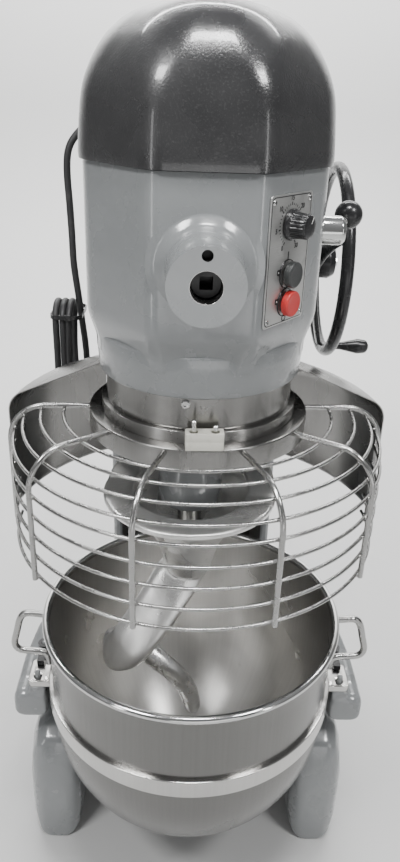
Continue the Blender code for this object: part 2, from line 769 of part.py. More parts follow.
# ---------------------------------------------------------------- drive train
def planetary():
    """The turning carrier: a disc inside the collar with an offset boss that holds the agitator shaft."""
    bowl_axis = (0, BOWL_Y, 0)
    disc = turned(
        "planetary_casting",
        [(0.0, 0.968), (0.124, 0.968), (0.128, 0.964), (0.128, 0.936), (0.120, 0.928), (0.0, 0.928)],
        "grey_enamel",
        bowl_axis,
        steps=36,
    )
    boss = turned(
        "boss",
        [
            (0.0, 0.940),
            (0.0390, 0.940),
            (0.0390, 0.838),
            (0.0410, 0.830),
            (0.0465, 0.818),
            (0.0470, 0.806),
            (0.0465, 0.788),
            (0.0420, 0.777),
            (0.0340, 0.772),
            (0.0, 0.772),
        ],
        None,
        AGITATOR,
        steps=24,
    )
    join(disc, boss)
    bore = cylinder("agitator bore", AGITATOR_SHAFT + RUN_GAP, 0.7, 1.0, None, AGITATOR, segments=32)
    cut(disc, bore)
    pitch_line = HUB_HEIGHT - HUB_BEVEL - 0.001
    inner = MAIN_BEVEL - BEVEL_FACE
    inner_line = pitch_line + BEVEL_FACE * HUB_BEVEL / MAIN_BEVEL
    turned(
        "planetary_bevel_shaft",
        [
            (0.0, inner_line - 0.004),
            (0.024, inner_line - 0.004),
            (inner, inner_line),
            (MAIN_BEVEL, pitch_line),
            (MAIN_BEVEL - 0.008, pitch_line - 0.011),
            (0.026, pitch_line - 0.016),
            (0.022, pitch_line - 0.020),
            (0.022, 0.968 + FIT_GAP),
            (0.0, 0.968 + FIT_GAP),
        ],
        "machined_steel",
        bowl_axis,
        steps=24,
    )


def bearings():
    bowl_axis = (0, BOWL_Y, 0)
    floor = HEAD_FLOOR + 0.0125 + FIT_GAP
    ring("planetary_bearing", 0.022 + RUN_GAP, 0.1260, floor, 1.030, "machined_steel", bowl_axis, steps=32)
    seat = BOWL_Y - 0.165 + FIT_GAP
    ring("hub_bearing", 0.0172 + RUN_GAP, 0.0297, seat, seat + 0.016, "machined_steel", (0, 0, HUB_HEIGHT), Y_AXIS)


def ring_gear():
    outline = [circle(0.1174, 36), gear_outline(RING_TEETH, GEAR_MODULE, internal=True, turn=agitator_angle())]
    plate("ring_gear", outline, 0.9765, 0.9965, "machined_steel", (0, BOWL_Y, 0))


def agitator_angle():
    """The agitator's direction from the bowl's axis, measured from +X."""
    return math.atan2(AGITATOR.y - BOWL_Y, AGITATOR.x)


def agitator_drive():
    cylinder("agitator_shaft", AGITATOR_SHAFT, 0.692, 0.9965, "machined_steel", AGITATOR, segments=24)
    outline = [gear_outline(AGITATOR_TEETH, GEAR_MODULE, turn=agitator_angle()), circle(AGITATOR_SHAFT + RUN_GAP)]
    plate("agitator_pinion", outline, 0.9765, 0.9965, "machined_steel", AGITATOR)


def dough_arm():
    """A cast spiral arm: a cup round the boss with a twisted flange, a flat blade and a round tail."""
    arm = turned(
        "dough_arm",
        [
            (0.0, 0.690),
            (AGITATOR_SHAFT + RUN_GAP, 0.690),
            (AGITATOR_SHAFT + RUN_GAP, 0.738),
            (0.050, 0.742),
            (0.074, 0.762),
            (0.084, 0.790),
            (0.098, 0.790),
            (0.094, 0.776),
            (0.066, 0.738),
            (0.048, 0.706),
            (0.040, 0.676),
            (0.034, 0.652),
            (0.0, 0.646),
        ],
        "cast_aluminium",
        AGITATOR,
        steps=24,
    )
    join(arm, arm_flange(), arm_blade())


def arm_flange():
    """The flange round the cup: flat in front, raised and tilted at the back."""
    sections = []
    count = 30
    for i in range(count):
        turn = 2 * math.pi * i / count
        back = max(0.0, -math.cos(turn + math.radians(12))) ** 0.8
        tilt = math.radians(46) * back
        radius = 0.1065 - 0.004 * back
        height = 0.7865 + 0.038 * back
        outward = Vector((math.sin(turn), -math.cos(turn), 0.0))
        side = outward * math.cos(tilt) + Vector((0, 0, math.sin(tilt)))
        up = Vector((0, 0, math.cos(tilt))) - outward * math.sin(tilt)
        centre = outward * radius + Vector((0, 0, height))
        sections.append(rounded_section(centre, side, up, 0.0200, 0.0062, 3.0, 8))
    return loft("arm flange", sections, None, AGITATOR, closed=True)


def arm_blade():
    """The blade and tail below the cup, as stations from the bowl's axis: place, half width, half thickness."""
    stations = (
        ((-0.0100, -0.0620, 0.674), 0.030, 0.024),
        ((-0.0150, -0.0650, 0.656), 0.034, 0.019),
        ((-0.0300, -0.0725, 0.630), 0.036, 0.015),
        ((-0.052, -0.083, 0.594), 0.036, 0.013),
        ((-0.078, -0.093, 0.554), 0.036, 0.013),
        ((-0.102, -0.095, 0.520), 0.035, 0.014),
        ((-0.124, -0.080, 0.496), 0.032, 0.016),
        ((-0.134, -0.048, 0.484), 0.029, 0.016),
        ((-0.119, -0.018, 0.468), 0.024, 0.016),
        ((-0.086, -0.012, 0.446), 0.019, 0.016),
        ((-0.050, -0.026, 0.424), 0.017, 0.016),
        ((-0.019, -0.032, 0.396), 0.016, 0.016),
        ((-0.001, -0.030, 0.362), 0.016, 0.016),
        ((0.006, -0.030, 0.330), 0.0145, 0.0145),
        ((0.007, -0.030, 0.318), 0.009, 0.009),
    )
    centres = [Vector(place_) for place_, _, _ in stations]
    axis = Vector((-0.012, -0.060, 0.0))
    sections = []
    for i, (_, half_width, half_thickness) in enumerate(stations):
        along = (centres[min(i + 1, len(centres) - 1)] - centres[max(i - 1, 0)]).normalized()
        outward = centres[i] - axis
        outward.z = 0.0
        facing = outward + Vector((0.0, -0.09, 0.05)) if i < 6 else outward
        side = along.cross(facing).normalized()
        up = side.cross(along).normalized()
        power = 3.2 if i < 8 else 2.2
        centre = centres[i] + Vector((0, BOWL_Y, 0))
        sections.append(rounded_section(centre, side, up, half_width, half_thickness, power, 12))
    return loft("arm blade", sections, None)


def hub_shaft():
    """The horizontal shaft that turns the attachment hub's square socket and, by a bevel, the planetary."""
    axis = (0, 0, HUB_HEIGHT)
    front = HUB_FACE + 0.022
    near = BOWL_Y + MAIN_BEVEL + 0.001
    small = HUB_BEVEL * (MAIN_BEVEL - BEVEL_FACE) / MAIN_BEVEL
    spindle = turned(
        "hub_spindle",
        [
            (0.0, BOWL_Y + 0.235),
            (0.0140, BOWL_Y + 0.235),
            (0.0140, near + 0.018),
            (0.0250, near + 0.016),
            (HUB_BEVEL - 0.008, near + 0.010),
            (HUB_BEVEL, near),
            (small, near - BEVEL_FACE),
            (0.0140, near - BEVEL_FACE + 0.003),
            (0.0140, BOWL_Y - 0.115),
            (0.0172, BOWL_Y - 0.115),
            (0.0172, front + 0.001),
            (0.0162, front),
            (0.0, front),
        ],
        "machined_steel",
        axis,
        Y_AXIS,
        20,
    )
    half = 0.0072
    socket = box("square socket", (-half, front - 0.01, HUB_HEIGHT - half), (half, front + 0.026, HUB_HEIGHT + half), None)
    cut(spindle, socket)
    bore = 0.0140 + RUN_GAP
    drive_y = BOWL_Y + 0.19
    outline = [gear_outline(DRIVE_TEETH, GEAR_MODULE, turn=-math.pi / 2), circle(bore)]
    plate("drive_gear", outline, drive_y, drive_y + 0.018, "machined_steel", axis, Y_AXIS)


def motor_axis():
    return HUB_HEIGHT + (DRIVE_TEETH + MOTOR_TEETH) * GEAR_MODULE / 2


def motor():
    axis = (0, 0, motor_axis())
    drive_y = BOWL_Y + 0.19
    body_front = BOWL_Y + 0.250
    body_back = BOWL_Y + 0.490
    inner = 0.058
    turned(
        "motor_stator",
        [
            (inner, body_back - 0.006),
            (0.016, body_back - 0.006),
            (0.016, body_back),
            (MOTOR_RADIUS - 0.006, body_back),
            (MOTOR_RADIUS, body_back - 0.006),
            (MOTOR_RADIUS, body_front + 0.006),
            (MOTOR_RADIUS - 0.006, body_front),
            (0.016, body_front),
            (0.016, body_front + 0.006),
            (inner, body_front + 0.006),
        ],
        "charcoal_enamel",
        axis,
        Y_AXIS,
        24,
        ring=True,
    )
    turned(
        "motor_rotor",
        [
            (0.0, body_back + 0.012),
            (0.0110, body_back + 0.012),
            (0.0110, body_back - 0.030),
            (0.0560, body_back - 0.030),
            (0.0560, body_front + 0.030),
            (0.0110, body_front + 0.030),
            (0.0110, drive_y - 0.004),
            (0.0, drive_y - 0.004),
        ],
        "machined_steel",
        axis,
        Y_AXIS,
        24,
    )
    pitch = 2 * math.pi / MOTOR_TEETH
    outline = [gear_outline(MOTOR_TEETH, GEAR_MODULE, turn=math.pi / 2 + pitch / 2), circle(0.0110 + RUN_GAP, 16)]
    plate("motor_pinion", outline, drive_y, drive_y + 0.018, "machined_steel", axis, Y_AXIS)


# ---------------------------------------------------------------- bowl lift
def handwheel():
    axis = (0, WHEEL_Y, WHEEL_Z)
    hub = turned(
        "handwheel",
        [
            (WHEEL_SHAFT + RUN_GAP, WHEEL_X + 0.008),
            (0.024, WHEEL_X + 0.008),
            (0.030, WHEEL_X),
            (0.030, 0.167),
            (WHEEL_SHAFT + RUN_GAP, 0.167),
        ],
        "black_plastic",
        axis,
        X_AXIS,
        24,
        ring=True,
    )
    section = [
        (WHEEL_RADIUS + WHEEL_RIM * math.cos(math.radians(60 * k)), WHEEL_X - WHEEL_RIM * math.sin(math.radians(60 * k)))
        for k in range(6)
    ]
    rim = turned("wheel rim", section, None, axis, X_AXIS, 32, ring=True)
    join(hub, rim)
    for k in range(3):
        turn = Matrix.Rotation(math.radians(60 + 120 * k), 4, "X")
        sections = [
            rounded_section(turn @ Vector((x, 0, radius)), (1, 0, 0), turn @ Vector((0, 1, 0)), 0.0055, half, 3.0, 8)
            for x, radius, half in ((0.208, 0.020, 0.026), (0.215, 0.085, 0.017), (0.231, WHEEL_RADIUS, 0.024))
        ]
        join(hub, loft(f"wheel spoke {k}", sections, None, axis))
    pin_z = WHEEL_Z - WHEEL_RADIUS
    join(hub, cylinder("grip pin", 0.0042, WHEEL_X, WHEEL_X + 0.091, None, (0, WHEEL_Y, pin_z), X_AXIS, 12))
    grip_start = WHEEL_X + WHEEL_RIM + 0.001
    turned(
        "handwheel_grip",
        [
            (0.0046, grip_start + 0.078),
            (0.0075, grip_start + 0.0765),
            (0.0110, grip_start + 0.070),
            (0.0124, grip_start + 0.060),
            (0.0114, grip_start + 0.046),
            (0.0078, grip_start + 0.024),
            (0.0062, grip_start + 0.006),
            (0.0078, grip_start + 0.002),
            (0.0078, grip_start),
            (0.0046, grip_start),
        ],
        "black_plastic",
        (0, WHEEL_Y, pin_z),
        X_AXIS,
        16,
        ring=True,
    )
    small = LIFT_BEVEL - 0.012
    turned(
        "wheel_shaft",
        [
            (0.0, WHEEL_X + 0.006),
            (WHEEL_SHAFT, WHEEL_X + 0.006),
            (WHEEL_SHAFT, 0.046),
            (LIFT_BEVEL - 0.006, LIFT_BEVEL + 0.007),
            (LIFT_BEVEL, LIFT_BEVEL + 0.001),
            (small, small + 0.001),
            (0.0, small + 0.001),
        ],
        "machined_steel",
        axis,
        X_AXIS,
        24,
    )


def lift_screw():
    screw_axis = (0, WHEEL_Y, 0)
    small = LIFT_BEVEL - 0.012
    turned(
        "lift_screw",
        [
            (0.0, WHEEL_Z - small - 0.001),
            (small, WHEEL_Z - small - 0.001),
            (LIFT_BEVEL, WHEEL_Z - LIFT_BEVEL - 0.001),
            (LIFT_BEVEL - 0.006, WHEEL_Z - LIFT_BEVEL - 0.006),
            (0.011, WHEEL_Z - LIFT_BEVEL - 0.0070),
            (0.011, 0.985),
            (LIFT_SCREW, 0.982),
            (LIFT_SCREW, COLUMN_BOTTOM + 0.001),
            (0.0, COLUMN_BOTTOM + 0.001),
        ],
        "machined_steel",
        screw_axis,
        steps=24,
    )
    ring("screw_upper_bearing", 0.011 + RUN_GAP, 0.0157, 0.9905, 1.0105, "bronze", screw_axis)
    nut = cylinder("lift_nut", 0.026, 0.33, 0.375, "bronze", screw_axis)
    back_of_apron = BOWL_Y + 0.2725 + FIT_GAP
    lug = box("nut lug", (-0.022, back_of_apron, 0.333), (0.022, WHEEL_Y - 0.012, 0.372), None)
    join(nut, lug)
    cut(nut, cylinder("nut bore", LIFT_SCREW + RUN_GAP, 0.3, 0.4, None, screw_axis))


def bowl_support():
    """The sliding yoke: an apron on the column's slideways and two arms that carry the bowl's ears."""
    apron = box(
        "bowl_support",
        (-0.150, BOWL_Y + 0.2505, 0.22),
        (0.150, BOWL_Y + 0.2725, 0.47),
        "grey_enamel",
    )
    stations = (
        # x, y from the bowl's axis, half thickness, bottom, top
        (0.125, 0.2615, 0.0100, 0.235, 0.462),
        (0.160, 0.2540, 0.0160, 0.238, 0.455),
        (0.205, 0.2230, 0.0230, 0.248, 0.435),
        (0.243, 0.1740, 0.0270, 0.260, 0.408),
        (0.270, 0.1180, 0.0290, 0.272, 0.380),
        (0.281, 0.0600, 0.0300, 0.284, 0.360),
        (0.281, 0.0000, 0.0310, 0.292, 0.354),
        (0.281, -0.0240, 0.0310, 0.294, 0.352),
        (0.281, -0.0330, 0.0270, 0.300, 0.346),
    )
    for side in (-1, 1):
        label = "left" if side < 0 else "right"
        centres = [Vector((side * x, BOWL_Y + y, (bottom + top) / 2)) for x, y, _, bottom, top in stations]
        sections = []
        for i, (_, _, half, bottom, top) in enumerate(stations):
            along = centres[min(i + 1, len(centres) - 1)] - centres[max(i - 1, 0)]
            along.z = 0.0
            across = along.normalized().cross(Vector((0, 0, 1)))
            sections.append(rounded_section(centres[i], across, (0, 0, 1), half, (top - bottom) / 2, 4.0, 12))
        pad_low, pad_high = sorted((side * 0.2535, side * 0.2840))
        pad_top = BAND_BOTTOM - FIT_GAP
        join(
            apron,
            loft(f"{label} arm", sections, None),
            box(f"{label} pad", (pad_low, BOWL_Y - 0.029, 0.32), (pad_high, BOWL_Y + 0.085, pad_top), None),
            cylinder(f"{label} locating pin", 0.006, 0.35, 0.388, None, (side * EAR_X, BOWL_Y - 0.014, 0), segments=16),
            cylinder(f"{label} clamp stud", 0.006, 0.35, 0.392, None, (side * EAR_X, BOWL_Y + 0.058, 0), segments=16),
        )


def bowl_clamp(name, side):
    """A flat clamp that swings on its stud over the bowl's ear."""
    low = BAND_BOTTOM + EAR_THICKNESS + 0.001
    centre = (side * EAR_X, BOWL_Y + 0.058, 0)
    hub = ring(name, 0.006 + RUN_GAP, 0.0125, low, low + 0.012, "black_plastic", centre, steps=16)
    bar = box(f"{name} bar", (-0.0065, -0.046, low), (0.0065, -0.0085, low + 0.009), None, centre)
    tab = cylinder(f"{name} tab", 0.0045, low, low + 0.024, None, (centre[0], centre[1] + 0.0110, 0), segments=12)
    join(hub, bar, tab)
    cut(hub, cylinder(f"{name} bore", 0.006 + RUN_GAP, low - 0.01, low + 0.03, None, centre, segments=16))


def bowl():
    """The spun stainless bowl: straight upper wall, round bottom and a rolled rim."""
    radius = BOWL_RADIUS
    inner = radius - BOWL_SHEET
    rim = BOWL_RIM
    wall = [
        (inner, rim - 0.003),
        (inner + 0.003, rim),
        (radius + 0.008, rim),
        (radius + 0.0115, rim - 0.005),
        (radius + 0.008, rim - 0.011),
        (radius, rim - 0.013),
    ]
    steps = 7
    outside = [
        (radius * math.cos(math.pi / 2 * k / steps), BOWL_ROUND_CENTRE - radius * math.sin(math.pi / 2 * k / steps))
        for k in range(steps)
    ]
    inside = [
        (inner * math.cos(math.pi / 2 * k / steps), BOWL_ROUND_CENTRE - inner * math.sin(math.pi / 2 * k / steps))
        for k in range(steps)
    ]
    profile = [(0.0, BOWL_ROUND_CENTRE - inner)] + list(reversed(inside)) + wall + outside
    profile.append((0.0, BOWL_ROUND_CENTRE - radius))
    turned("bowl", profile, "stainless", (0, BOWL_Y, 0), steps=36)
    band = ring(
        "bowl_band", radius + FIT_GAP, BAND_RADIUS, BAND_BOTTOM, BAND_TOP, "stainless", (0, BOWL_Y, 0), steps=36
    )
    for side in (-1, 1):
        label = "left" if side < 0 else "right"
        low_x, high_x = sorted((side * 0.2435, side * 0.2835))
        ear_top = BAND_BOTTOM + EAR_THICKNESS
        join(band, box(f"{label} ear", (low_x, BOWL_Y - 0.028, BAND_BOTTOM), (high_x, BOWL_Y + 0.028, ear_top), None))
        cut(band, cylinder(f"{label} ear hole", 0.0068, 0.3, 0.42, None, (side * EAR_X, BOWL_Y - 0.014, 0), segments=16))


def bowl_handle(name, side):
    corners = [
        Vector((side * 0.2412, 0.0, 0.500)),
        Vector((side * 0.2600, 0.0, 0.502)),
        Vector((side * 0.2830, 0.0, 0.503)),
        Vector((side * 0.2935, 0.0, 0.492)),
        Vector((side * 0.3010, 0.0, 0.465)),
        Vector((side * 0.3070, 0.0, 0.438)),
        Vector((side * 0.3000, 0.0, 0.424)),
        Vector((side * 0.2800, 0.0, 0.4205)),
        Vector((side * 0.2640, 0.0, 0.4190)),
        Vector((side * 0.2540, -0.001, 0.4160)),
        Vector((side * 0.2492, -0.0025, 0.4080)),
        Vector((side * 0.2485, -0.0030, BAND_TOP + 0.0014)),
    ]
    tube(name, smooth_route(corners, 0.014), 0.006, "stainless", (0, BOWL_Y, 0), 2)


# ---------------------------------------------------------------- controls
def controls():
    """The switch plate on the slanting face, its box behind it, the timer and the two buttons."""
    face = FIT_GAP
    top = face + PLATE_THICKNESS
    half_width = PLATE_WIDTH / 2
    half_height = PLATE_HEIGHT / 2
    switch_plate = box("switch_plate", (-half_width, -half_height, face), (half_width, half_height, top), "cast_aluminium")
    on_slant(switch_plate, PLATE_CENTRE_HEIGHT)
    control_box = box("control_box", (-0.0305, -0.0595, -0.028), (0.0305, 0.0595, 0.0), "black_plastic")
    on_slant(control_box, PLATE_CENTRE_HEIGHT)
    stems = ((TIMER_HEIGHT, 0.0040), (START_HEIGHT, 0.0065), (STOP_HEIGHT, 0.0065))
    for number, (height, radius) in enumerate(stems):
        hole = cylinder(f"stem hole {number}", radius + RUN_GAP, -0.012, 0.01, None, segments=16)
        on_slant(hole, height)
        cut(switch_plate, hole)
        cut(control_box, hole)
    for number, (x, y) in enumerate(((-1, 1), (1, 1), (-1, -1), (1, -1))):
        screw = turned(
            f"plate_screw_{number + 1}",
            [(0.0, top + 0.0022), (0.0022, top + 0.0018), (0.0033, top + 0.0006), (0.0033, top + FIT_GAP), (0.0, top + FIT_GAP)],
            "polished_steel",
            steps=12,
        )
        screw.matrix_world = slant_frame(PLATE_CENTRE_HEIGHT) @ Matrix.Translation((x * (half_width - 0.0068), y * (half_height - 0.0075), 0))
    timer = turned(
        "timer_knob",
        [
            (0.0, top + 0.0270),
            (0.0125, top + 0.0270),
            (0.0140, top + 0.0255),
            (0.0150, top + 0.0110),
            (0.0175, top + 0.0075),
            (0.0185, top + 0.0010),
            (0.0038, top + 0.0010),
            (0.0038, -0.010),
            (0.0, -0.010),
        ],
        "black_plastic",
        steps=24,
    )
    on_slant(timer, TIMER_HEIGHT)
    for name, height, look in (("start_button", START_HEIGHT, "dark_grey_plastic"), ("stop_button", STOP_HEIGHT, "red_plastic")):
        low = top + BUTTON_TRAVEL + 0.001
        button = turned(
            name,
            [
                (0.0, low + 0.0100),
                (BUTTON_RADIUS - 0.0015, low + 0.0100),
                (BUTTON_RADIUS, low + 0.0085),
                (BUTTON_RADIUS, low + 0.0005),
                (BUTTON_RADIUS - 0.0005, low),
                (0.0062, low),
                (0.0062, -0.008),
                (0.0, -0.008),
            ],
            look,
            steps=24,
        )
        on_slant(button, height)


def shift_lever():
    """The speed lever: a shaft into the case, a chrome boss outside it and a rod to a black ball."""
    axis = (0, SHIFT_BOSS.y, SHIFT_BOSS.z)
    boss_end = SHIFT_BOSS.x + 0.0085
    case_side = HEAD_HALF_WIDTH + 0.0010
    boss = turned(
        "shift_shaft",
        [
            (0.0, boss_end),
            (0.0145, boss_end),
            (0.0180, boss_end - 0.0020),
            (0.0192, boss_end - 0.0060),
            (0.0192, case_side),
            (0.0120, case_side),
            (0.0120, 0.070),
            (0.0, 0.070),
        ],
        "polished_steel",
        axis,
        X_AXIS,
        20,
    )
    reach = SHIFT_KNOB - SHIFT_BOSS
    lean = reach.to_track_quat("Z", "Y").to_matrix().to_4x4()
    rod_end = reach.length - SHIFT_KNOB_RADIUS * 0.8
    rod = cylinder("shift rod", 0.0048, 0.006, rod_end, None, SHIFT_BOSS, lean, 12)
    fork = box("shift fork", (0.072, -0.012, -0.055), (0.080, 0.012, 0.0), None, axis)
    join(boss, rod, fork)
    steps = 10
    arc = [math.pi * k / steps for k in range(1, steps - 1)]
    flat = -SHIFT_KNOB_RADIUS * 0.8 + FIT_GAP
    profile = [(0.0, SHIFT_KNOB_RADIUS)]
    profile += [(SHIFT_KNOB_RADIUS * math.sin(angle), SHIFT_KNOB_RADIUS * math.cos(angle)) for angle in arc]
    profile += [(SHIFT_KNOB_RADIUS * 0.6, flat), (0.0, flat)]
    turned("shift_knob", profile, "black_plastic", SHIFT_KNOB, lean, 16)


# ---------------------------------------------------------------- supply cord
def cord_route():
    """The hand-chosen points of the cord's free stretch, from the gland's mouth down to the tied hank."""
    return [
        Vector((-0.1866, BOWL_Y + 0.3000, 1.2710)),
        Vector((-0.1985, BOWL_Y + 0.2990, 1.2605)),
        Vector((-0.2100, BOWL_Y + 0.2970, 1.2490)),
        Vector((-0.2200, BOWL_Y + 0.2940, 1.2340)),
        Vector((-0.2248, BOWL_Y + 0.2910, 1.2150)),
        Vector((-0.2258, BOWL_Y + 0.2890, 1.1850)),
        Vector((-0.2235, BOWL_Y + 0.2870, 1.1400)),
        Vector((-0.2215, BOWL_Y + 0.2850, 1.0900)),
        Vector((-0.2202, BOWL_Y + 0.2840, 1.0400)),
        Vector((HANK.x + 0.0140, HANK.y, HANK.z + HANK_LENGTH / 2 + 0.0200)),
        Vector((HANK.x + 0.0140, HANK.y, HANK.z + HANK_LENGTH / 2 + FIT_GAP)),
    ]


def cord_gland():
    """The strain relief: a nut on the motor cover's left side that bends down and tapers to the cord."""
    centres = [
        (Vector((-0.1450, GLAND.y, GLAND.z)), 0.0095),
        (Vector((-0.1647, GLAND.y, GLAND.z)), 0.0095),
        (Vector((-0.1648, GLAND.y, GLAND.z)), 0.0155),
        (Vector((-0.1706, GLAND.y, GLAND.z)), 0.0155),
        (Vector((-0.1714, GLAND.y, GLAND.z - 0.0003)), 0.0125),
        (Vector((-0.1758, GLAND.y, GLAND.z - 0.0035)), 0.0110),
        (Vector((-0.1812, GLAND.y, GLAND.z - 0.0080)), 0.0096),
        (Vector((-0.1863, GLAND.y, GLAND.z - 0.0127)), 0.0080),
    ]
    leans = (0, 0, 0, 0, 10, 24, 36, 40)
    sections = []
    for (centre, radius), lean in zip(centres, leans):
        turn = Matrix.Rotation(math.radians(-lean), 4, "Y")
        sections.append(
            [centre + turn @ Vector((0, radius * across, radius * along)) for across, along in circle(1.0, 20)]
        )
    loft("cord_gland", sections, "black_rubber")


def supply_cord():
    """The cord's free stretch, its tied hank, the tail below it and the plug that hangs there."""
    cord_gland()
    tube("cord_upper", smooth_route(cord_route(), 2.5 * 2 * CORD_RADIUS), CORD_RADIUS, "black_rubber", (0, 0, 0), 2)
    end = HANK_WIDTH / 2
    run = HANK_LENGTH / 2 - end
    arc = [math.radians(15 * k) for k in range(13)]
    outline = [(end * math.cos(a), run + end * math.sin(a)) for a in arc]
    outline += [(-end * math.cos(a), -run - end * math.sin(a)) for a in arc]
    upright = Matrix(((0, 0, 1, 0), (1, 0, 0, 0), (0, 1, 0, 0), (0, 0, 0, 1)))
    plate("cord_hank", [outline], -HANK_THICKNESS / 2, HANK_THICKNESS / 2, "black_rubber", HANK, upright)
    half_x = HANK_THICKNESS / 2 + FIT_GAP
    half_y = HANK_WIDTH / 2 + FIT_GAP
    band = 0.002
    frame = [(-half_x - band, -half_y - band), (half_x + band, -half_y - band)]
    frame += [(half_x + band, half_y + band), (-half_x - band, half_y + band)]
    hole = [(-half_x, -half_y), (half_x, -half_y), (half_x, half_y), (-half_x, half_y)]
    tie_at = HANK + Vector((0, 0, run + 0.018))
    plate("cord_tie", [frame, hole], -0.0045, 0.0045, "black_rubber", tie_at)
    tail = HANK + Vector((-0.0120, end - 2 * CORD_RADIUS, -run))
    tail_top = tail.z - math.sqrt(end**2 - (end - 3 * CORD_RADIUS) ** 2) - FIT_GAP
    tail_length = 0.040
    points = [Vector((tail.x, tail.y, tail_top - tail_length * k / 3)) for k in range(4)]
    tube("cord_tail", points, CORD_RADIUS, "black_rubber", (0, 0, 0), 2)
    plug((tail.x, tail.y, tail_top - tail_length - FIT_GAP))


def plug(top):
    """A moulded three-pin plug that hangs with its pins down."""
    levels = (
        (0.0, 0.0085, 0.0085),
        (-0.016, 0.0105, 0.0105),
        (-0.018, 0.0150, 0.0150),
        (-0.026, 0.0180, 0.0180),
        (-0.046, 0.0180, 0.0180),
        (-0.048, 0.0170, 0.0170),
    )
    sections = [
        rounded_section((0, 0, height), (1, 0, 0), (0, 1, 0), half_x, half_y, 2.6, 20)
        for height, half_x, half_y in levels
    ]
    body = loft("supply_plug", sections, "black_rubber", top)
    x, y, z = top
    foot = z - 0.048
    for number, side in enumerate((-1, 1)):
        low = (x + side * 0.0064 - 0.0009, y - 0.0032, foot - 0.017)
        high = (x + side * 0.0064 + 0.0009, y + 0.0032, foot + 0.004)
        join(body, box(f"flat pin {number}", low, high, None))
    join(body, cylinder("earth pin", 0.0024, foot - 0.019, foot + 0.004, None, (x, y + 0.0105, 0), segments=12))


def main():
    base_casting()
    column()
    head_casting()
    motor_cover()
    collar_and_track()
    rear_guard("rear_guard_left", -1)
    rear_guard("rear_guard_right", 1)
    wire_guard()
    guard_ring()
    planetary()
    bearings()
    ring_gear()
    agitator_drive()
    dough_arm()
    hub_shaft()
    motor()
    handwheel()
    lift_screw()
    bowl_support()
    bowl_clamp("bowl_clamp_left", -1)
    bowl_clamp("bowl_clamp_right", 1)
    bowl()
    bowl_handle("bowl_handle_left", -1)
    bowl_handle("bowl_handle_right", 1)
    controls()
    shift_lever()
    supply_cord()


empty_scene()
PARTS = new_collection("planetary_mixer")
CUTTERS = new_collection("cutters")
main()
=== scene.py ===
"""Looks for the floor-standing planetary dough mixer: smooth shells, wires and castings over the CAD frame.

Metres, in the frame of the CAD: +X is the operator's right, -Y is towards the operator, +Z is up.
"""

import json
import math

import bmesh
import bpy
from mathutils import Matrix, Vector


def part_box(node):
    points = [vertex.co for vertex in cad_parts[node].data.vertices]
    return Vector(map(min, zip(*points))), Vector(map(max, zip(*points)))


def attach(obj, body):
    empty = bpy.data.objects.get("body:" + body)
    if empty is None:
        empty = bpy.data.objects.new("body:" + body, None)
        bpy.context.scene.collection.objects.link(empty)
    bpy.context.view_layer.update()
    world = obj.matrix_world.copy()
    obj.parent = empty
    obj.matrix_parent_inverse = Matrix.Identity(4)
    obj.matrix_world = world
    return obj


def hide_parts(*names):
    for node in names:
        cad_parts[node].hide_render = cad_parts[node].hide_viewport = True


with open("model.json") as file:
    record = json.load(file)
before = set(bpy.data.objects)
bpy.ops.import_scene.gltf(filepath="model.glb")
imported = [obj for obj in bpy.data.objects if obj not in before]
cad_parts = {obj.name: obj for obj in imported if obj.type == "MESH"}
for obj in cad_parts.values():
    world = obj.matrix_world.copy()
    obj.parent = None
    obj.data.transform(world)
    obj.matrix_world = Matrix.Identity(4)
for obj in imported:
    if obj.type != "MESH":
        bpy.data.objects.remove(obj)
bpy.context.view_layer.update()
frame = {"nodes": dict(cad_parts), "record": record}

# ---------------------------------------------------------------- places, from the frame
low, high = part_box("bowl")
AXIS = Vector(((low.x + high.x) / 2, (low.y + high.y) / 2, 0.0))  # the bowl's and planetary's axis
BOWL_RIM = high.z
BOWL_BOTTOM = low.z
BOWL_WALL = 0.240
BOWL_SHEET = 0.0022
BAND_LOW, BAND_HIGH = (corner.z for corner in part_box("bowl_band"))

low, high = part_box("motor_cover")
SEAM = low.z
HEAD_TOP = high.z
low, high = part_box("head_casting")
HUB_FACE = low.y
NECK_BOTTOM = low.z
HEAD_BACK = high.y
HEAD_HALF_WIDTH = 0.1555
NECK_RADIUS = 0.1462
HEAD_REAR_HALF_WIDTH = high.x
HEAD_FRONT = AXIS.y - 0.155
HEAD_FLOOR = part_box("column_casting")[1].z
HUB = Vector((0.0, HUB_FACE, sum(corner.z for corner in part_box("hub_spindle")) / 2))

low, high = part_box("shift_knob")
SHIFT_KNOB = (low + high) / 2
SHIFT_KNOB_RADIUS = (high.z - low.z) / 2
SHIFT_BOSS_END = 0.1889
SHIFT_HEIGHT = 1.1585

low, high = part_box("handwheel")
WHEEL = Vector((0.235, (low.y + high.y) / 2, 0.0))
WHEEL.z = sum(corner.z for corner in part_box("wheel_shaft")) / 2
WHEEL_RADIUS = 0.159

RING_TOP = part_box("guard_ring")[1].z
RING_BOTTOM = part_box("guard_ring")[0].z
RING_RADIUS = 0.160
GUARD_TURN = math.radians(2.5)
GUARD_ROD_TURNS = [GUARD_TURN + math.radians(turn) for turn in (-90.0, -54.5, -18.9, 18.9, 54.5, 90.0)]
GUARD_RADIUS = 0.280
GUARD_ROD = 0.0039
GUARD_HOOP = 0.0025

REAR_SHEET = 0.0018
REAR_FIRST, REAR_SWEPT = 97, 49  # degrees round the bowl's axis from the front

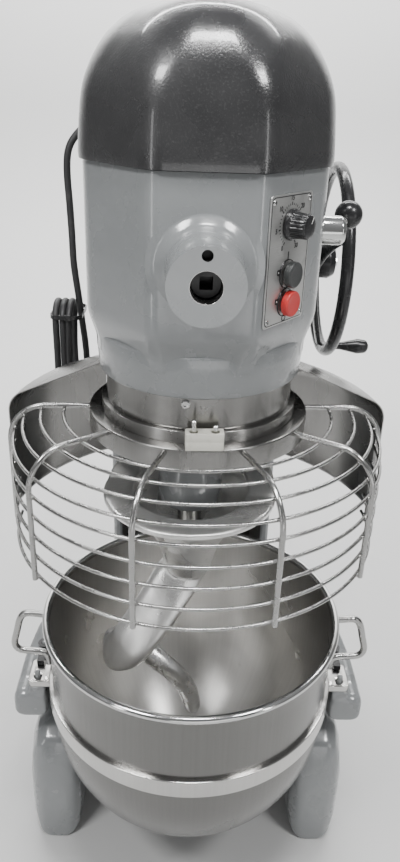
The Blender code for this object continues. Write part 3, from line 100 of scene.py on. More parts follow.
CHAMFER = math.radians(51)
FACE_ACROSS = Vector((math.cos(CHAMFER), math.sin(CHAMFER), 0.0))
FACE_OUT = Vector((math.sin(CHAMFER), -math.cos(CHAMFER), 0.0))
FACE_START = Vector((0.065, HEAD_FRONT, 0.0))
PLATE_CENTRE = FACE_START + FACE_ACROSS * 0.054 + Vector((0, 0, 1.1405))
PLATE_SIZE = (0.090, 0.156)
PLATE_TOP = 0.0024
TIMER_UP = 1.183 - PLATE_CENTRE.z
START_UP = 1.1245 - PLATE_CENTRE.z
STOP_UP = 1.089 - PLATE_CENTRE.z

CORD_RADIUS = 0.006
HANK_LOW, HANK_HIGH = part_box("cord_hank")
HANK = (HANK_LOW + HANK_HIGH) / 2


# ---------------------------------------------------------------- shape helpers
def fillet(points, closed=True, steps=5):
    """Rounds a flat outline's corners. Each point is (u, v) or (u, v, radius)."""
    flat = [Vector(point[:2]) for point in points]
    count = len(flat)
    outline = []
    for i, point in enumerate(points):
        radius = point[2] if len(point) > 2 else 0.0
        ends = not closed and i in (0, count - 1)
        if radius <= 0 or ends:
            outline.append(flat[i])
            continue
        before = (flat[i - 1] - flat[i]).normalized()
        after = (flat[(i + 1) % count] - flat[i]).normalized()
        half = before.angle(after) / 2
        reach = radius / math.tan(half)
        centre = flat[i] + (before + after).normalized() * (radius / math.sin(half))
        start = flat[i] + before * reach - centre
        end = flat[i] + after * reach - centre
        sweep = start.angle_signed(end)
        for k in range(steps + 1):
            turned = start.copy()
            turned.rotate(Matrix.Rotation(-sweep * k / steps, 2))
            outline.append(centre + turned)
    return outline


def smooth(points, spacing):
    """Points at even distances on a smooth curve through the given ones."""
    ends = [2 * points[0] - points[1], *points, 2 * points[-1] - points[-2]]
    dense = []
    for before, start, end, after in zip(ends, ends[1:], ends[2:], ends[3:]):
        for k in range(12):
            t = k / 12
            square = (2 * before - 5 * start + 4 * end - after) * t * t
            cube = (3 * start - before - 3 * end + after) * t**3
            dense.append(0.5 * (2 * start + (end - before) * t + square + cube))
    dense.append(points[-1])
    length = sum((b - a).length for a, b in zip(dense, dense[1:]))
    count = max(2, round(length / spacing))
    route = [dense[0]]
    travelled = 0.0
    for a, b in zip(dense, dense[1:]):
        span = (b - a).length
        while len(route) < count and travelled + span >= length * len(route) / count:
            route.append(a.lerp(b, (length * len(route) / count - travelled) / span))
        travelled += span
    route.append(dense[-1])
    return route


def clamped(share):
    return min(1.0, max(0.0, share))


def eased(share):
    """A soft step from nought to one."""
    share = clamped(share)
    return share * share * (3 - 2 * share)


def ring_angles(count):
    return [2 * math.pi * k / count for k in range(count)]


def circle(radius, count, x=0.0, y=0.0):
    return [(x + radius * math.cos(a), y + radius * math.sin(a)) for a in ring_angles(count)]


def squarish(angle, power):
    """A point between a unit circle and the square round it. Powers under one are squarer."""
    return [math.copysign(abs(part) ** power, part) for part in (math.cos(angle), math.sin(angle))]


def add(name, data, look, body=None, nodes=(), place=None):
    """Puts a piece in the scene, gives it its material, its body and the CAD nodes it stands for."""
    data.name = name
    obj = bpy.data.objects.new(name, data)
    bpy.context.scene.collection.objects.link(obj)
    if place is not None:
        obj.matrix_world = place
    data.materials.clear()
    data.materials.append(look)
    if body:
        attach(obj, body)
    if nodes:
        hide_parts(*nodes)
    return obj


def mesh_from(bm, crease=38):
    bmesh.ops.recalc_face_normals(bm, faces=bm.faces)
    mesh = bpy.data.meshes.new("piece")
    bm.to_mesh(mesh)
    bm.free()
    mesh.shade_smooth()
    mesh.set_sharp_from_angle(angle=math.radians(crease))
    return mesh


def skin(rows, loop=False, cap=True, crease=38):
    """A mesh skinned over rows of points. A loop's last row joins its first."""
    bm = bmesh.new()
    made = [[bm.verts.new(point) for point in row] for row in rows]
    pairs = list(zip(made, made[1:]))
    if loop:
        pairs.append((made[-1], made[0]))
    elif cap:
        bm.faces.new(made[0])
        bm.faces.new(made[-1])
    for row, following in pairs:
        for i in range(len(row)):
            j = (i + 1) % len(row)
            bm.faces.new((row[i], row[j], following[j], following[i]))
    return mesh_from(bm, crease)


def lathe(profile, steps=96, closed=False, crease=38):
    """A mesh turned about its own Z axis from (radius, height) points."""
    bm = bmesh.new()
    rows = []
    for radius, height in profile:
        ring = circle(radius, steps) if radius > 1e-6 else [(0, 0)]
        rows.append([bm.verts.new((x, y, height)) for x, y in ring])
    pairs = list(zip(rows, rows[1:]))
    if closed:
        pairs.append((rows[-1], rows[0]))
    for row, following in pairs:
        for k in range(steps):
            j = (k + 1) % steps
            if len(row) == 1 and len(following) == 1:
                continue
            if len(row) == 1:
                bm.faces.new((row[0], following[j], following[k]))
            elif len(following) == 1:
                bm.faces.new((row[k], row[j], following[0]))
            else:
                bm.faces.new((row[k], row[j], following[j], following[k]))
    return mesh_from(bm, crease)


def turned(points, steps=96, corner_steps=5, closed=False, crease=38):
    """A turned mesh whose profile has rounded corners."""
    return lathe(fillet(points, closed, corner_steps), steps, closed, crease)


def at(centre, direction=(0, 0, 1)):
    """A place whose own Z axis points along a direction, with its X axis kept level."""
    out = Vector(direction).normalized()
    across = Vector((1, 0, 0)) if abs(out.z) > 0.999 else Vector((0, 0, 1)).cross(out).normalized()
    turn = Matrix((across, out.cross(across), out)).transposed().to_4x4()
    return Matrix.Translation(centre) @ turn


def facing(centre, across, up):
    """A place whose own X and Y axes point along across and up."""
    across = Vector(across).normalized()
    up = Vector(up).normalized()
    out = across.cross(up)
    turn = Matrix((across, up, out)).transposed().to_4x4()
    return Matrix.Translation(centre) @ turn


def prism(outline, low, high, round_edge=0.0, holes=()):
    """A flat outline extruded along Z, with rounded edges."""
    curve = bpy.data.curves.new("outline", "CURVE")
    curve.dimensions = "2D"
    curve.fill_mode = "BOTH"
    for points in (outline, *holes):
        spline = curve.splines.new("POLY")
        spline.points.add(len(points) - 1)
        for slot, point in zip(spline.points, points):
            slot.co = (point[0], point[1], 0.0, 1.0)
        spline.use_cyclic_u = True
    curve.extrude = (high - low) / 2
    obj = bpy.data.objects.new("outline", curve)
    bpy.context.scene.collection.objects.link(obj)
    bpy.context.view_layer.update()
    mesh = bpy.data.meshes.new_from_object(obj.evaluated_get(bpy.context.evaluated_depsgraph_get()))
    bpy.data.objects.remove(obj)
    mesh.transform(Matrix.Translation((0, 0, (low + high) / 2)))
    bm = bmesh.new()
    bm.from_mesh(mesh)
    bmesh.ops.remove_doubles(bm, verts=bm.verts, dist=1e-6)
    bmesh.ops.dissolve_limit(bm, angle_limit=0.01, verts=bm.verts, edges=bm.edges)
    if round_edge > 0:
        sharp = [edge for edge in bm.edges if len(edge.link_faces) == 2 and edge.calc_face_angle() > 0.8]
        bmesh.ops.bevel(bm, geom=sharp, offset=round_edge, segments=3, profile=0.5, affect="EDGES")
    return mesh_from(bm, 30)


def box_outline(half_width, half_height, radius, steps=6):
    """A rectangle round the origin with rounded corners."""
    corners = [(-half_width, -half_height, radius), (half_width, -half_height, radius)]
    corners += [(half_width, half_height, radius), (-half_width, half_height, radius)]
    return fillet(corners, steps=steps)


def wire(points, radius, resolution=5):
    """A round rod along a run of points."""
    curve = bpy.data.curves.new("wire", "CURVE")
    curve.dimensions = "3D"
    curve.bevel_depth = radius
    curve.bevel_resolution = resolution
    curve.use_fill_caps = True
    spline = curve.splines.new("POLY")
    spline.points.add(len(points) - 1)
    for slot, point in zip(spline.points, points):
        slot.co = (*point, 1.0)
    return curve


def around(radius, turn, height):
    """A point at a turn from straight ahead of the bowl's axis, positive towards the operator's right."""
    return AXIS + Vector((radius * math.sin(turn), -radius * math.cos(turn), height))


def merged(meshes):
    """One mesh made of several, without welding them."""
    bm = bmesh.new()
    for mesh in meshes:
        bm.from_mesh(mesh)
    joined = bpy.data.meshes.new("joined")
    bm.to_mesh(joined)
    bm.free()
    return joined


def cast(name, meshes, voxel, rounds, look, body, nodes):
    """Closed shells melted into one casting, with soft inner and outer corners."""
    obj = add(name, merged(meshes), look, None, ())
    remesh = obj.modifiers.new("cast", "REMESH")
    remesh.mode = "VOXEL"
    remesh.voxel_size = voxel
    soften = obj.modifiers.new("soften", "SMOOTH")
    soften.factor = 0.5
    soften.iterations = rounds
    bpy.context.view_layer.update()
    mesh = bpy.data.meshes.new_from_object(obj.evaluated_get(bpy.context.evaluated_depsgraph_get()))
    obj.modifiers.clear()
    obj.data = mesh
    mesh.shade_smooth()
    mesh.materials.clear()
    mesh.materials.append(look)
    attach(obj, body)
    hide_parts(*nodes)
    return obj


# ---------------------------------------------------------------- material helpers
class Finish:
    """A node material built step by step round one Principled shader."""

    def __init__(self, name, colour, roughness, metallic=0.0):
        self.material = bpy.data.materials.new(name)
        self.material["finish"] = name
        self.material.use_nodes = True
        self.tree = self.material.node_tree
        self.shader = self.tree.nodes["Principled BSDF"]
        self.shader.inputs["Base Color"].default_value = (*colour, 1.0)
        self.shader.inputs["Roughness"].default_value = roughness
        self.shader.inputs["Metallic"].default_value = metallic
        self.normal = None
        self.colour = None
        self.base = colour

    def node(self, kind, **values):
        node = self.tree.nodes.new(kind)
        for key, value in values.items():
            setattr(node, key, value)
        return node

    def link(self, source, target):
        self.tree.links.new(source, target)

    def position(self, stretch=(1, 1, 1), wrapped=False):
        """The piece's own coordinates, or (angle, height, radius) round its Z axis, times a stretch."""
        coordinates = self.node("ShaderNodeTexCoord").outputs["Object"]
        if wrapped:
            split = self.node("ShaderNodeSeparateXYZ")
            self.link(coordinates, split.inputs[0])
            angle = self.node("ShaderNodeMath", operation="ARCTAN2")
            self.link(split.outputs["Y"], angle.inputs[0])
            self.link(split.outputs["X"], angle.inputs[1])
            radius = self.node("ShaderNodeVectorMath", operation="LENGTH")
            self.link(coordinates, radius.inputs[0])
            joined = self.node("ShaderNodeCombineXYZ")
            self.link(angle.outputs[0], joined.inputs["X"])
            self.link(split.outputs["Z"], joined.inputs["Y"])
            self.link(radius.outputs["Value"], joined.inputs["Z"])
            coordinates = joined.outputs[0]
        mapping = self.node("ShaderNodeMapping")
        self.link(coordinates, mapping.inputs["Vector"])
        mapping.inputs["Scale"].default_value = stretch
        return mapping.outputs[0]

    def noise(self, scale, detail=4.0, stretch=(1, 1, 1), wrapped=False, distortion=0.0):
        noise = self.node("ShaderNodeTexNoise")
        noise.inputs["Scale"].default_value = scale
        noise.inputs["Detail"].default_value = detail
        noise.inputs["Distortion"].default_value = distortion
        self.link(self.position(stretch, wrapped), noise.inputs["Vector"])
        return noise.outputs["Fac"]

    def remap(self, value, from_low, from_high, to_low, to_high):
        node = self.node("ShaderNodeMapRange")
        self.link(value, node.inputs["Value"])
        node.inputs["From Min"].default_value = from_low
        node.inputs["From Max"].default_value = from_high
        node.inputs["To Min"].default_value = to_low
        node.inputs["To Max"].default_value = to_high
        return node.outputs["Result"]

    def tint(self, value, none_at, full_at, amount, colour):
        """Mixes a colour over the base, none of it at one value and the full amount at another."""
        share = self.remap(value, none_at, full_at, 0.0, amount)
        mix = self.node("ShaderNodeMix", data_type="RGBA")
        self.link(share, mix.inputs[0])
        if self.colour is None:
            mix.inputs[6].default_value = (*self.base, 1.0)
        else:
            self.link(self.colour, mix.inputs[6])
        mix.inputs[7].default_value = (*colour, 1.0)
        self.colour = mix.outputs[2]
        self.link(self.colour, self.shader.inputs["Base Color"])
        return self

    def rough(self, value, *span):
        self.link(self.remap(value, *span), self.shader.inputs["Roughness"])
        return self

    def bump(self, height, distance, strength=1.0):
        node = self.node("ShaderNodeBump")
        node.inputs["Strength"].default_value = strength
        node.inputs["Distance"].default_value = distance
        self.link(height, node.inputs["Height"])
        if self.normal is not None:
            self.link(self.normal, node.inputs["Normal"])
        self.normal = node.outputs[0]
        self.link(self.normal, self.shader.inputs["Normal"])
        return self

    def edges(self, radius, colour, amount=1.0):
        """Brightens or darkens the corners, as wear and polish do."""
        bevel = self.node("ShaderNodeBevel", samples=4)
        bevel.inputs["Radius"].default_value = radius
        geometry = self.node("ShaderNodeNewGeometry")
        dot = self.node("ShaderNodeVectorMath", operation="DOT_PRODUCT")
        self.link(bevel.outputs[0], dot.inputs[0])
        self.link(geometry.outputs["Normal"], dot.inputs[1])
        return self.tint(dot.outputs["Value"], 0.99, 0.85, amount, colour)

    def brushed(self, amount):
        """Stretches reflections along the axis, as marks that run round it do."""
        tangent = self.node("ShaderNodeTangent", direction_type="RADIAL", axis="Z")
        self.link(tangent.outputs[0], self.shader.inputs["Tangent"])
        return self.set(anisotropic=amount, anisotropic_rotation=0.25)

    def set(self, **values):
        for name, value in values.items():
            self.shader.inputs[name.replace("_", " ").title().replace("Ior", "IOR")].default_value = value
        return self


def grey_enamel():
    """Brushed-on gloss enamel: a wavy film over the casting, with small chips and grime."""
    finish = Finish("grey_enamel", (0.205, 0.214, 0.217), 0.26)
    finish.tint(finish.noise(7.0, 3.0), 0.35, 0.7, 0.5, (0.238, 0.248, 0.251))
    finish.tint(finish.noise(230.0, 2.0), 0.745, 0.77, 0.4, (0.42, 0.44, 0.44))
    finish.tint(finish.noise(95.0, 6.0), 0.70, 0.80, 0.35, (0.13, 0.14, 0.14))
    finish.rough(finish.noise(16.0, 5.0), 0.3, 0.7, 0.16, 0.34)
    finish.bump(finish.noise(12.0, 2.0), 0.005, 0.6)
    finish.bump(finish.noise(42.0, 2.0), 0.0009, 0.4)
    finish.bump(finish.noise(190.0, 3.0), 0.0003, 0.35)
    return finish.set(coat_weight=0.7, coat_roughness=0.09, specular_ior_level=0.6).material


def charcoal_enamel():
    """Near-black gloss over a grainy casting, with a pale speckle in the film."""
    finish = Finish("charcoal_enamel", (0.020, 0.020, 0.021), 0.30)
    drift = finish.noise(5.0, 5.0, (1.0, 0.35, 1.6), distortion=0.4)
    finish.tint(drift, 0.4, 0.75, 0.8, (0.042, 0.042, 0.043))
    finish.tint(finish.noise(420.0, 2.0), 0.55, 0.80, 0.35, (0.10, 0.10, 0.10))
    smears = finish.noise(14.0, 6.0, (1.0, 0.3, 1.0), distortion=0.8)
    finish.rough(smears, 0.3, 0.7, 0.17, 0.36)
    finish.bump(finish.noise(10.0, 2.0), 0.006, 0.6)
    finish.bump(finish.noise(34.0, 2.0), 0.0010, 0.4)
    finish.bump(finish.noise(420.0, 3.0), 0.0005, 0.55)
    return finish.set(coat_weight=0.6, coat_roughness=0.10, specular_ior_level=0.6).material


def stainless(name="stainless", shade=0.31, low=0.20, high=0.32, brushed=0.55):
    """Satin sheet with fine brush marks, faint upright streaks and wipe marks."""
    finish = Finish(name, (shade, shade * 0.985, shade * 0.955), 0.26, 1.0)
    streaks = finish.noise(1.0, 4.0, (46.0, 2.5, 2.5), wrapped=True)
    fine = finish.noise(1.0, 3.0, (3.0, 900.0, 3.0), wrapped=True)
    wipes = finish.noise(7.0, 6.0, distortion=1.0)
    spots = finish.noise(60.0, 6.0)
    finish.tint(streaks, 0.35, 0.72, 0.35, (shade * 0.80, shade * 0.79, shade * 0.76))
    finish.tint(wipes, 0.52, 0.80, 0.35, (shade * 1.25, shade * 1.24, shade * 1.22))
    finish.tint(spots, 0.66, 0.82, 0.3, (shade * 0.6, shade * 0.6, shade * 0.58))
    finish.rough(wipes, 0.3, 0.7, low, high)
    finish.bump(fine, 0.00006, 0.35)
    finish.bump(finish.noise(6.0, 1.0), 0.004, 0.12)
    return finish.brushed(brushed).material


def wire_steel():
    """Drawn rod, dulled by washing."""
    finish = Finish("wire_steel", (0.44, 0.437, 0.428), 0.24, 1.0)
    stains = finish.noise(46.0, 5.0, distortion=0.5)
    finish.tint(stains, 0.45, 0.75, 0.35, (0.34, 0.337, 0.33))
    finish.rough(stains, 0.3, 0.7, 0.16, 0.34)
    return finish.bump(finish.noise(420.0, 2.0), 0.00006, 0.4).material


def polished_steel(name="polished_steel", shade=0.70):
    finish = Finish(name, (shade, shade, shade * 0.985), 0.10, 1.0)
    scratches = finish.noise(70.0, 6.0, (1.0, 1.0, 0.15), distortion=0.6)
    finish.rough(scratches, 0.3, 0.75, 0.07, 0.22)
    finish.tint(finish.noise(24.0, 5.0), 0.5, 0.8, 0.35, (shade * 0.7, shade * 0.7, shade * 0.7))
    finish.bump(finish.noise(40.0, 2.0), 0.0004, 0.2)
    return finish.material


def cast_aluminium():
    """Burnished casting: bright rubbed metal with grainy grey hollows and pits."""
    finish = Finish("cast_aluminium", (0.72, 0.715, 0.70), 0.32, 0.88)
    patches = finish.noise(13.0, 6.0, distortion=0.7)
    finish.tint(patches, 0.42, 0.62, 0.9, (0.88, 0.875, 0.86))
    stains = finish.noise(30.0, 6.0)
    finish.tint(stains, 0.62, 0.80, 0.6, (0.34, 0.33, 0.315))
    finish.rough(patches, 0.35, 0.7, 0.42, 0.20)
    finish.bump(finish.noise(26.0, 4.0), 0.0022, 0.5)
    finish.bump(finish.noise(320.0, 4.0), 0.00035, 0.4)
    return finish.edges(0.0025, (0.95, 0.945, 0.935), 0.8).material


def plate_aluminium():
    """Brushed sheet with grease in its grain."""
    finish = Finish("plate_aluminium", (0.50, 0.50, 0.49), 0.38, 0.85)
    grain = finish.noise(1.0, 4.0, (30.0, 900.0, 30.0))
    finish.tint(grain, 0.3, 0.7, 0.5, (0.60, 0.60, 0.585))
    grease = finish.noise(38.0, 6.0)
    finish.tint(grease, 0.62, 0.78, 0.5, (0.25, 0.25, 0.24))
    finish.rough(grease, 0.3, 0.7, 0.30, 0.50)
    return finish.bump(grain, 0.00008, 0.4).material


def machined_steel():
    """Bare steel under a film of dark oil."""
    finish = Finish("machined_steel", (0.17, 0.168, 0.162), 0.34, 1.0)
    film = finish.noise(40.0, 5.0)
    finish.tint(film, 0.45, 0.7, 0.7, (0.07, 0.068, 0.064))
    finish.rough(film, 0.3, 0.7, 0.26, 0.46)
    return finish.bump(finish.noise(600.0, 2.0), 0.00008, 0.5).material


def bronze():
    finish = Finish("bronze", (0.52, 0.34, 0.15), 0.36, 1.0)
    film = finish.noise(60.0, 5.0)
    finish.tint(film, 0.5, 0.75, 0.7, (0.22, 0.13, 0.06))
    return finish.bump(finish.noise(300.0, 3.0), 0.0001, 0.5).material


def plastic(name, colour, low=0.2, high=0.35, dust=0.35):
    finish = Finish(name, colour, low)
    wear = finish.noise(45.0, 6.0)
    finish.rough(wear, 0.3, 0.75, low, high)
    pale = tuple(min(1.0, channel * 1.6 + 0.03) for channel in colour)
    finish.tint(finish.noise(120.0, 5.0), 0.62, 0.78, dust, pale)
    finish.bump(finish.noise(420.0, 3.0), 0.00012, 0.5)
    return finish.set(specular_ior_level=0.5).material


def rubber():
    finish = Finish("black_rubber", (0.022, 0.022, 0.023), 0.5)
    dust = finish.noise(60.0, 6.0)
    finish.tint(dust, 0.52, 0.75, 0.6, (0.06, 0.058, 0.055))
    finish.rough(dust, 0.3, 0.7, 0.40, 0.62)
    return finish.bump(finish.noise(700.0, 2.0), 0.00012, 0.5).material


def nylon():
    finish = Finish("white_nylon", (0.70, 0.69, 0.62), 0.45)
    grime = finish.noise(70.0, 6.0)
    finish.tint(grime, 0.55, 0.75, 0.5, (0.48, 0.46, 0.38))
    finish.bump(finish.noise(180.0, 4.0), 0.0003, 0.4)
    return finish.set(subsurface_weight=0.15, subsurface_radius=(0.003, 0.003, 0.003)).material


GREY = grey_enamel()
CHARCOAL = charcoal_enamel()
STAINLESS = stainless()
POLISHED = polished_steel()
ROD = wire_steel()
# The bowl's outside and its lining are one steel in two shades: the outside darker as painted shade, the
# lining lighter as painted light.
BOWL_OUTSIDE_SHADED = stainless("bowl_outside_painted_shade", 0.21, 0.18, 0.30, 0.5)
# Near-black for the hub's spindle and bearing: painted shade deep in the bore.
HUB_BORE_SHADE = plastic("hub_bore_painted_shade", (0.018, 0.018, 0.018), 0.3, 0.5)
BOWL_INSIDE_LIT = stainless("bowl_inside_painted_light", 0.60, 0.26, 0.38, 0.7)
BAND = stainless("bright_band", 0.62, 0.12, 0.22, 0.3)
ALUMINIUM = cast_aluminium()
PLATE = plate_aluminium()
MACHINED = machined_steel()
BRONZE = bronze()
BLACK = plastic("black_plastic", (0.016, 0.016, 0.017), 0.18, 0.34)
DARK_GREY = plastic("dark_grey_plastic", (0.034, 0.036, 0.036), 0.35, 0.5)
RED = plastic("red_plastic", (0.50, 0.030, 0.028), 0.30, 0.45, 0.2)
NYLON = nylon()
# Black rubber, also used as painted shade in the seam under the motor cover.
RUBBER_AND_SEAM_SHADE = rubber()
# Black for print, also used as painted shade in the hub's pin hole and the screws' cross recesses.
INK_AND_HOLE_SHADE = plastic("ink_and_hole_shade", (0.012, 0.012, 0.012), 0.4, 0.6)
WHITE_INK = plastic("white_ink", (0.62, 0.62, 0.60), 0.4, 0.6)


def carry_over():
    """Gives every CAD node the finish of its slot. The hub's spindle and bearing get a near-black colour:
    painted shade deep in the bore.
    """
    looks = (GREY, CHARCOAL, STAINLESS, POLISHED, ALUMINIUM, MACHINED, BRONZE)
    looks += (BLACK, DARK_GREY, RED, NYLON, RUBBER_AND_SEAM_SHADE)
    finishes = {look["finish"]: look for look in looks}
    for entry in frame["record"]["subparts"]:
        mesh = frame["nodes"][entry["node"]].data
        mesh.materials.clear()
        # The hub's spindle and bearing are near-black as painted shade in the bore.
        look = HUB_BORE_SHADE if entry["node"] in ("hub_spindle", "hub_bearing") else finishes[entry["material_slot"]]
        mesh.materials.append(look)
        mesh.shade_smooth()
        mesh.set_sharp_from_angle(angle=math.radians(32))


# ---------------------------------------------------------------- camera, light and floor
def camera():
    data = bpy.data.cameras.new("camera")
    data.lens = 30.45
    data.sensor_width = 36.0
    data.sensor_fit = "AUTO"
    data.clip_start = 0.05
    obj = bpy.data.objects.new("camera", data)
    bpy.context.scene.collection.objects.link(obj)
    turn = Matrix.Rotation(math.radians(-1.36), 4, "Z")
    tilt = Matrix.Rotation(math.radians(90 - 25.2), 4, "X")
    roll = Matrix.Rotation(math.radians(1.97), 4, "Z")
    obj.matrix_world = Matrix.Translation((-0.0195, AXIS.y - 1.0, 1.3263)) @ turn @ tilt @ roll
    bpy.context.scene.camera = obj


def area_light(name, place, aim, size, power, colour=(1, 1, 1)):
    data = bpy.data.lights.new(name, "AREA")
    data.shape = "RECTANGLE"
    data.size, data.size_y = size
    data.energy = power
    data.color = colour
    obj = bpy.data.objects.new(name, data)
    bpy.context.scene.collection.objects.link(obj)
    direction = Vector(aim) - Vector(place)
    obj.matrix_world = Matrix.Translation(place) @ direction.to_track_quat("-Z", "Y").to_matrix().to_4x4()


def studio():
    world = bpy.data.worlds.new("studio")
    bpy.context.scene.world = world
    world.use_nodes = True
    tree = world.node_tree
    background = tree.nodes["Background"]
    coordinates = tree.nodes.new("ShaderNodeTexCoord")
    split = tree.nodes.new("ShaderNodeSeparateXYZ")
    ramp = tree.nodes.new("ShaderNodeValToRGB")
    spread = tree.nodes.new("ShaderNodeMapRange")
    spread.inputs["From Min"].default_value = -1.0
    tree.links.new(coordinates.outputs["Generated"], split.inputs[0])
    tree.links.new(split.outputs["Z"], spread.inputs["Value"])
    tree.links.new(spread.outputs["Result"], ramp.inputs["Fac"])
    tree.links.new(ramp.outputs["Color"], background.inputs["Color"])
    ramp.color_ramp.elements[0].color = (0.20, 0.197, 0.193, 1.0)
    ramp.color_ramp.elements[1].color = (0.62, 0.63, 0.65, 1.0)
    middle = ramp.color_ramp.elements.new(0.5)
    middle.color = (0.40, 0.40, 0.40, 1.0)
    background.inputs["Strength"].default_value = 0.46
    area_light("panel_top", (0.10, -1.15, 3.3), (0.03, -0.25, 0.9), (0.62, 0.40), 44)
    area_light("panel_left", (-1.25, -1.7, 3.0), (-0.1, -0.3, 0.9), (0.8, 0.5), 50)
    area_light("panel_right", (1.35, -1.6, 2.9), (0.1, -0.3, 0.9), (0.6, 0.45), 34)
    area_light("strip_left", (-2.0, -2.5, 1.05), (0, -0.3, 0.9), (0.30, 1.5), 8)
    area_light("strip_right", (2.1, -2.3, 1.05), (0, -0.3, 0.9), (0.22, 1.5), 6)
    area_light("soft_front", (0.5, -3.6, 0.5), (0, -0.3, 0.5), (2.4, 0.8), 11)
    area_light("wall", (0.0, 1.9, 3.9), (0.0, 3.6, 1.2), (5.0, 0.6), 430)


def floor():
    """A pale floor that sweeps up into a pale wall far behind."""
    profile = fillet([(-5.0, 0.0), (3.6, 0.0, 1.2), (3.6, 5.0)], closed=False, steps=12)
    bm = bmesh.new()
    rows = [[bm.verts.new((x, y, z)) for y, z in profile] for x in (-7.0, 7.0)]
    for i in range(len(profile) - 1):
        bm.faces.new((rows[0][i], rows[1][i], rows[1][i + 1], rows[0][i + 1]))
    finish = Finish("floor", (0.60, 0.60, 0.595), 0.6)
    finish.tint(finish.noise(2.0, 4.0), 0.3, 0.7, 0.3, (0.56, 0.56, 0.555))
    finish.bump(finish.noise(60.0, 3.0), 0.0004, 0.3)
    obj = bpy.data.objects.new("floor", mesh_from(bm))
    obj.data.materials.append(finish.material)
    bpy.context.scene.collection.objects.link(obj)


# ---------------------------------------------------------------- supply cord
CORD_START = (
    (-0.1866, 0.3000, 1.2710), (-0.1985, 0.2990, 1.2605), (-0.2100, 0.2970, 1.2490),
    (-0.2200, 0.2940, 1.2340), (-0.2248, 0.2910, 1.2150), (-0.2258, 0.2890, 1.1850),
    (-0.2235, 0.2870, 1.1400), (-0.2215, 0.2850, 1.0900), (-0.2202, 0.2840, 1.0400),
)


def hank_route():
    """From the tie down the hank's middle, three long turns, and out at its back edge."""
    fold = (HANK_HIGH.y - HANK_LOW.y) / 2 - CORD_RADIUS
    run = (HANK_HIGH.z - HANK_LOW.z) / 2 - fold - CORD_RADIUS

    def strand(slot, y, z):
        spread = 0.0128 + 0.0012 * clamped((HANK_HIGH.z - z) / 0.09)
        down = clamped((HANK_HIGH.z - z) / (HANK_HIGH.z - HANK_LOW.z))
        bow = 0.005 * math.sin(math.pi * down) * math.cos(2.2 * slot + 0.6)
        return HANK + Vector(((1.5 - slot) * spread + bow, y, z - HANK.z))

    points = [strand(0, 0.0, HANK_HIGH.z)]
    for share in (0.25, 0.5, 0.75):
        points.append(strand(0, fold * eased(share), HANK_HIGH.z + (HANK.z - run - HANK_HIGH.z) * share))
    for turn in range(3):
        for k in range(7):
            angle = math.pi * k / 6
            slot = turn + (1 - math.cos(angle)) / 2
            points.append(strand(slot, fold * math.cos(angle), HANK.z - run - fold * math.sin(angle)))
        points.append(strand(turn + 1, -fold, HANK.z))
        for k in range(7):
            angle = math.pi * k / 6
            points.append(strand(turn + 1, -fold * math.cos(angle), HANK.z + run + fold * math.sin(angle)))
        points.append(strand(turn + 1, fold, HANK.z))
    points.append(strand(3, fold, HANK.z - run))
    return points


def cord():
    plug_low, plug_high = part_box("supply_plug")
    plug_top = Vector(((plug_low.x + plug_high.x) / 2, 0.0, plug_high.z))
    plug_top.y = (plug_low.y + plug_high.y) / 2
    points = [AXIS + Vector(point) for point in CORD_START] + hank_route()
    last = points[-1]
    drop = last.z - plug_top.z
    points.append(last.lerp(plug_top, 0.35) + Vector((0, 0, -drop * 0.05)))
    points += [plug_top + Vector((0, 0, 0.008)), plug_top]
    route = smooth(points, 0.006)
    nodes = ["cord_upper", "cord_hank", "cord_tail"]
    piece = add("supply_cord", wire(route, CORD_RADIUS, 6), RUBBER_AND_SEAM_SHADE, "machine", nodes)
    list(plug(plug_top))
    tie()
    gland()


def plug(top):
    """A moulded grip with ribs and a flat face that carries two blades and an earth pin."""
    levels = [(0.0, 0.0086), (-0.006, 0.0092), (-0.0075, 0.0084), (-0.010, 0.0096), (-0.0115, 0.0088)]
    levels += [(-0.014, 0.0102), (-0.016, 0.0112), (-0.0185, 0.0145), (-0.022, 0.0165), (-0.026, 0.0174)]
    levels += [(-0.029, 0.0168), (-0.032, 0.0174), (-0.035, 0.0168), (-0.038, 0.0174), (-0.044, 0.0176)]
    levels += [(-0.0475, 0.0172), (-0.048, 0.0160)]
    rows = []
    for height, half in levels:
        row = []
        for angle in ring_angles(40):
            across, along = squarish(angle, 0.8)
            row.append((half * across, half * along, height))
        rows.append(row)
    pieces = [add("plug_grip", skin(rows), RUBBER_AND_SEAM_SHADE, "machine", ["supply_plug"], place=at(top))]
    for name, x in (("plug_blade_left", -0.0064), ("plug_blade_right", 0.0064)):
        blade = prism(box_outline(0.0009, 0.0032, 0.0004, 2), -0.0645, -0.044, 0.0003)
        pieces.append(add(name, blade, POLISHED, "machine", place=at(top + Vector((x, 0, 0)))))
    earth = lathe([(0, -0.0662), (0.0016, -0.0655), (0.0024, -0.0635), (0.0024, -0.044)], 24)
    pieces.append(add("plug_earth_pin", earth, POLISHED, "machine", place=at(top + Vector((0, 0.0105, 0)))))
    return pieces


def tie():
    """A strap drawn round the top of the hank, with its buckle in front."""
    low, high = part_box("cord_tie")
    centre = (low + high) / 2
    half_x = (high.x - low.x) / 2
    half_y = (high.y - low.y) / 2
    outer = box_outline(half_x, half_y, 0.016, 8)
    inner = box_outline(half_x - 0.0018, half_y - 0.0018, 0.0145, 8)
    top = (high.z - low.z) / 2 - 0.001
    rows = [[(*a, -top), (*a, top), (*b, top), (*b, -top)] for a, b in zip(outer, inner)]
    band = skin(rows, loop=True)
    buckle = prism(box_outline(0.006, 0.0052, 0.0015), -0.0022, 0.0022, 0.0008)
    buckle.transform(facing((0.004, -half_y + 0.0010, 0), (1, 0, 0), (0, 0, 1)))
    return add("cord_tie_band", merged([band, buckle]), BLACK, "machine", ["cord_tie"], place=at(centre))


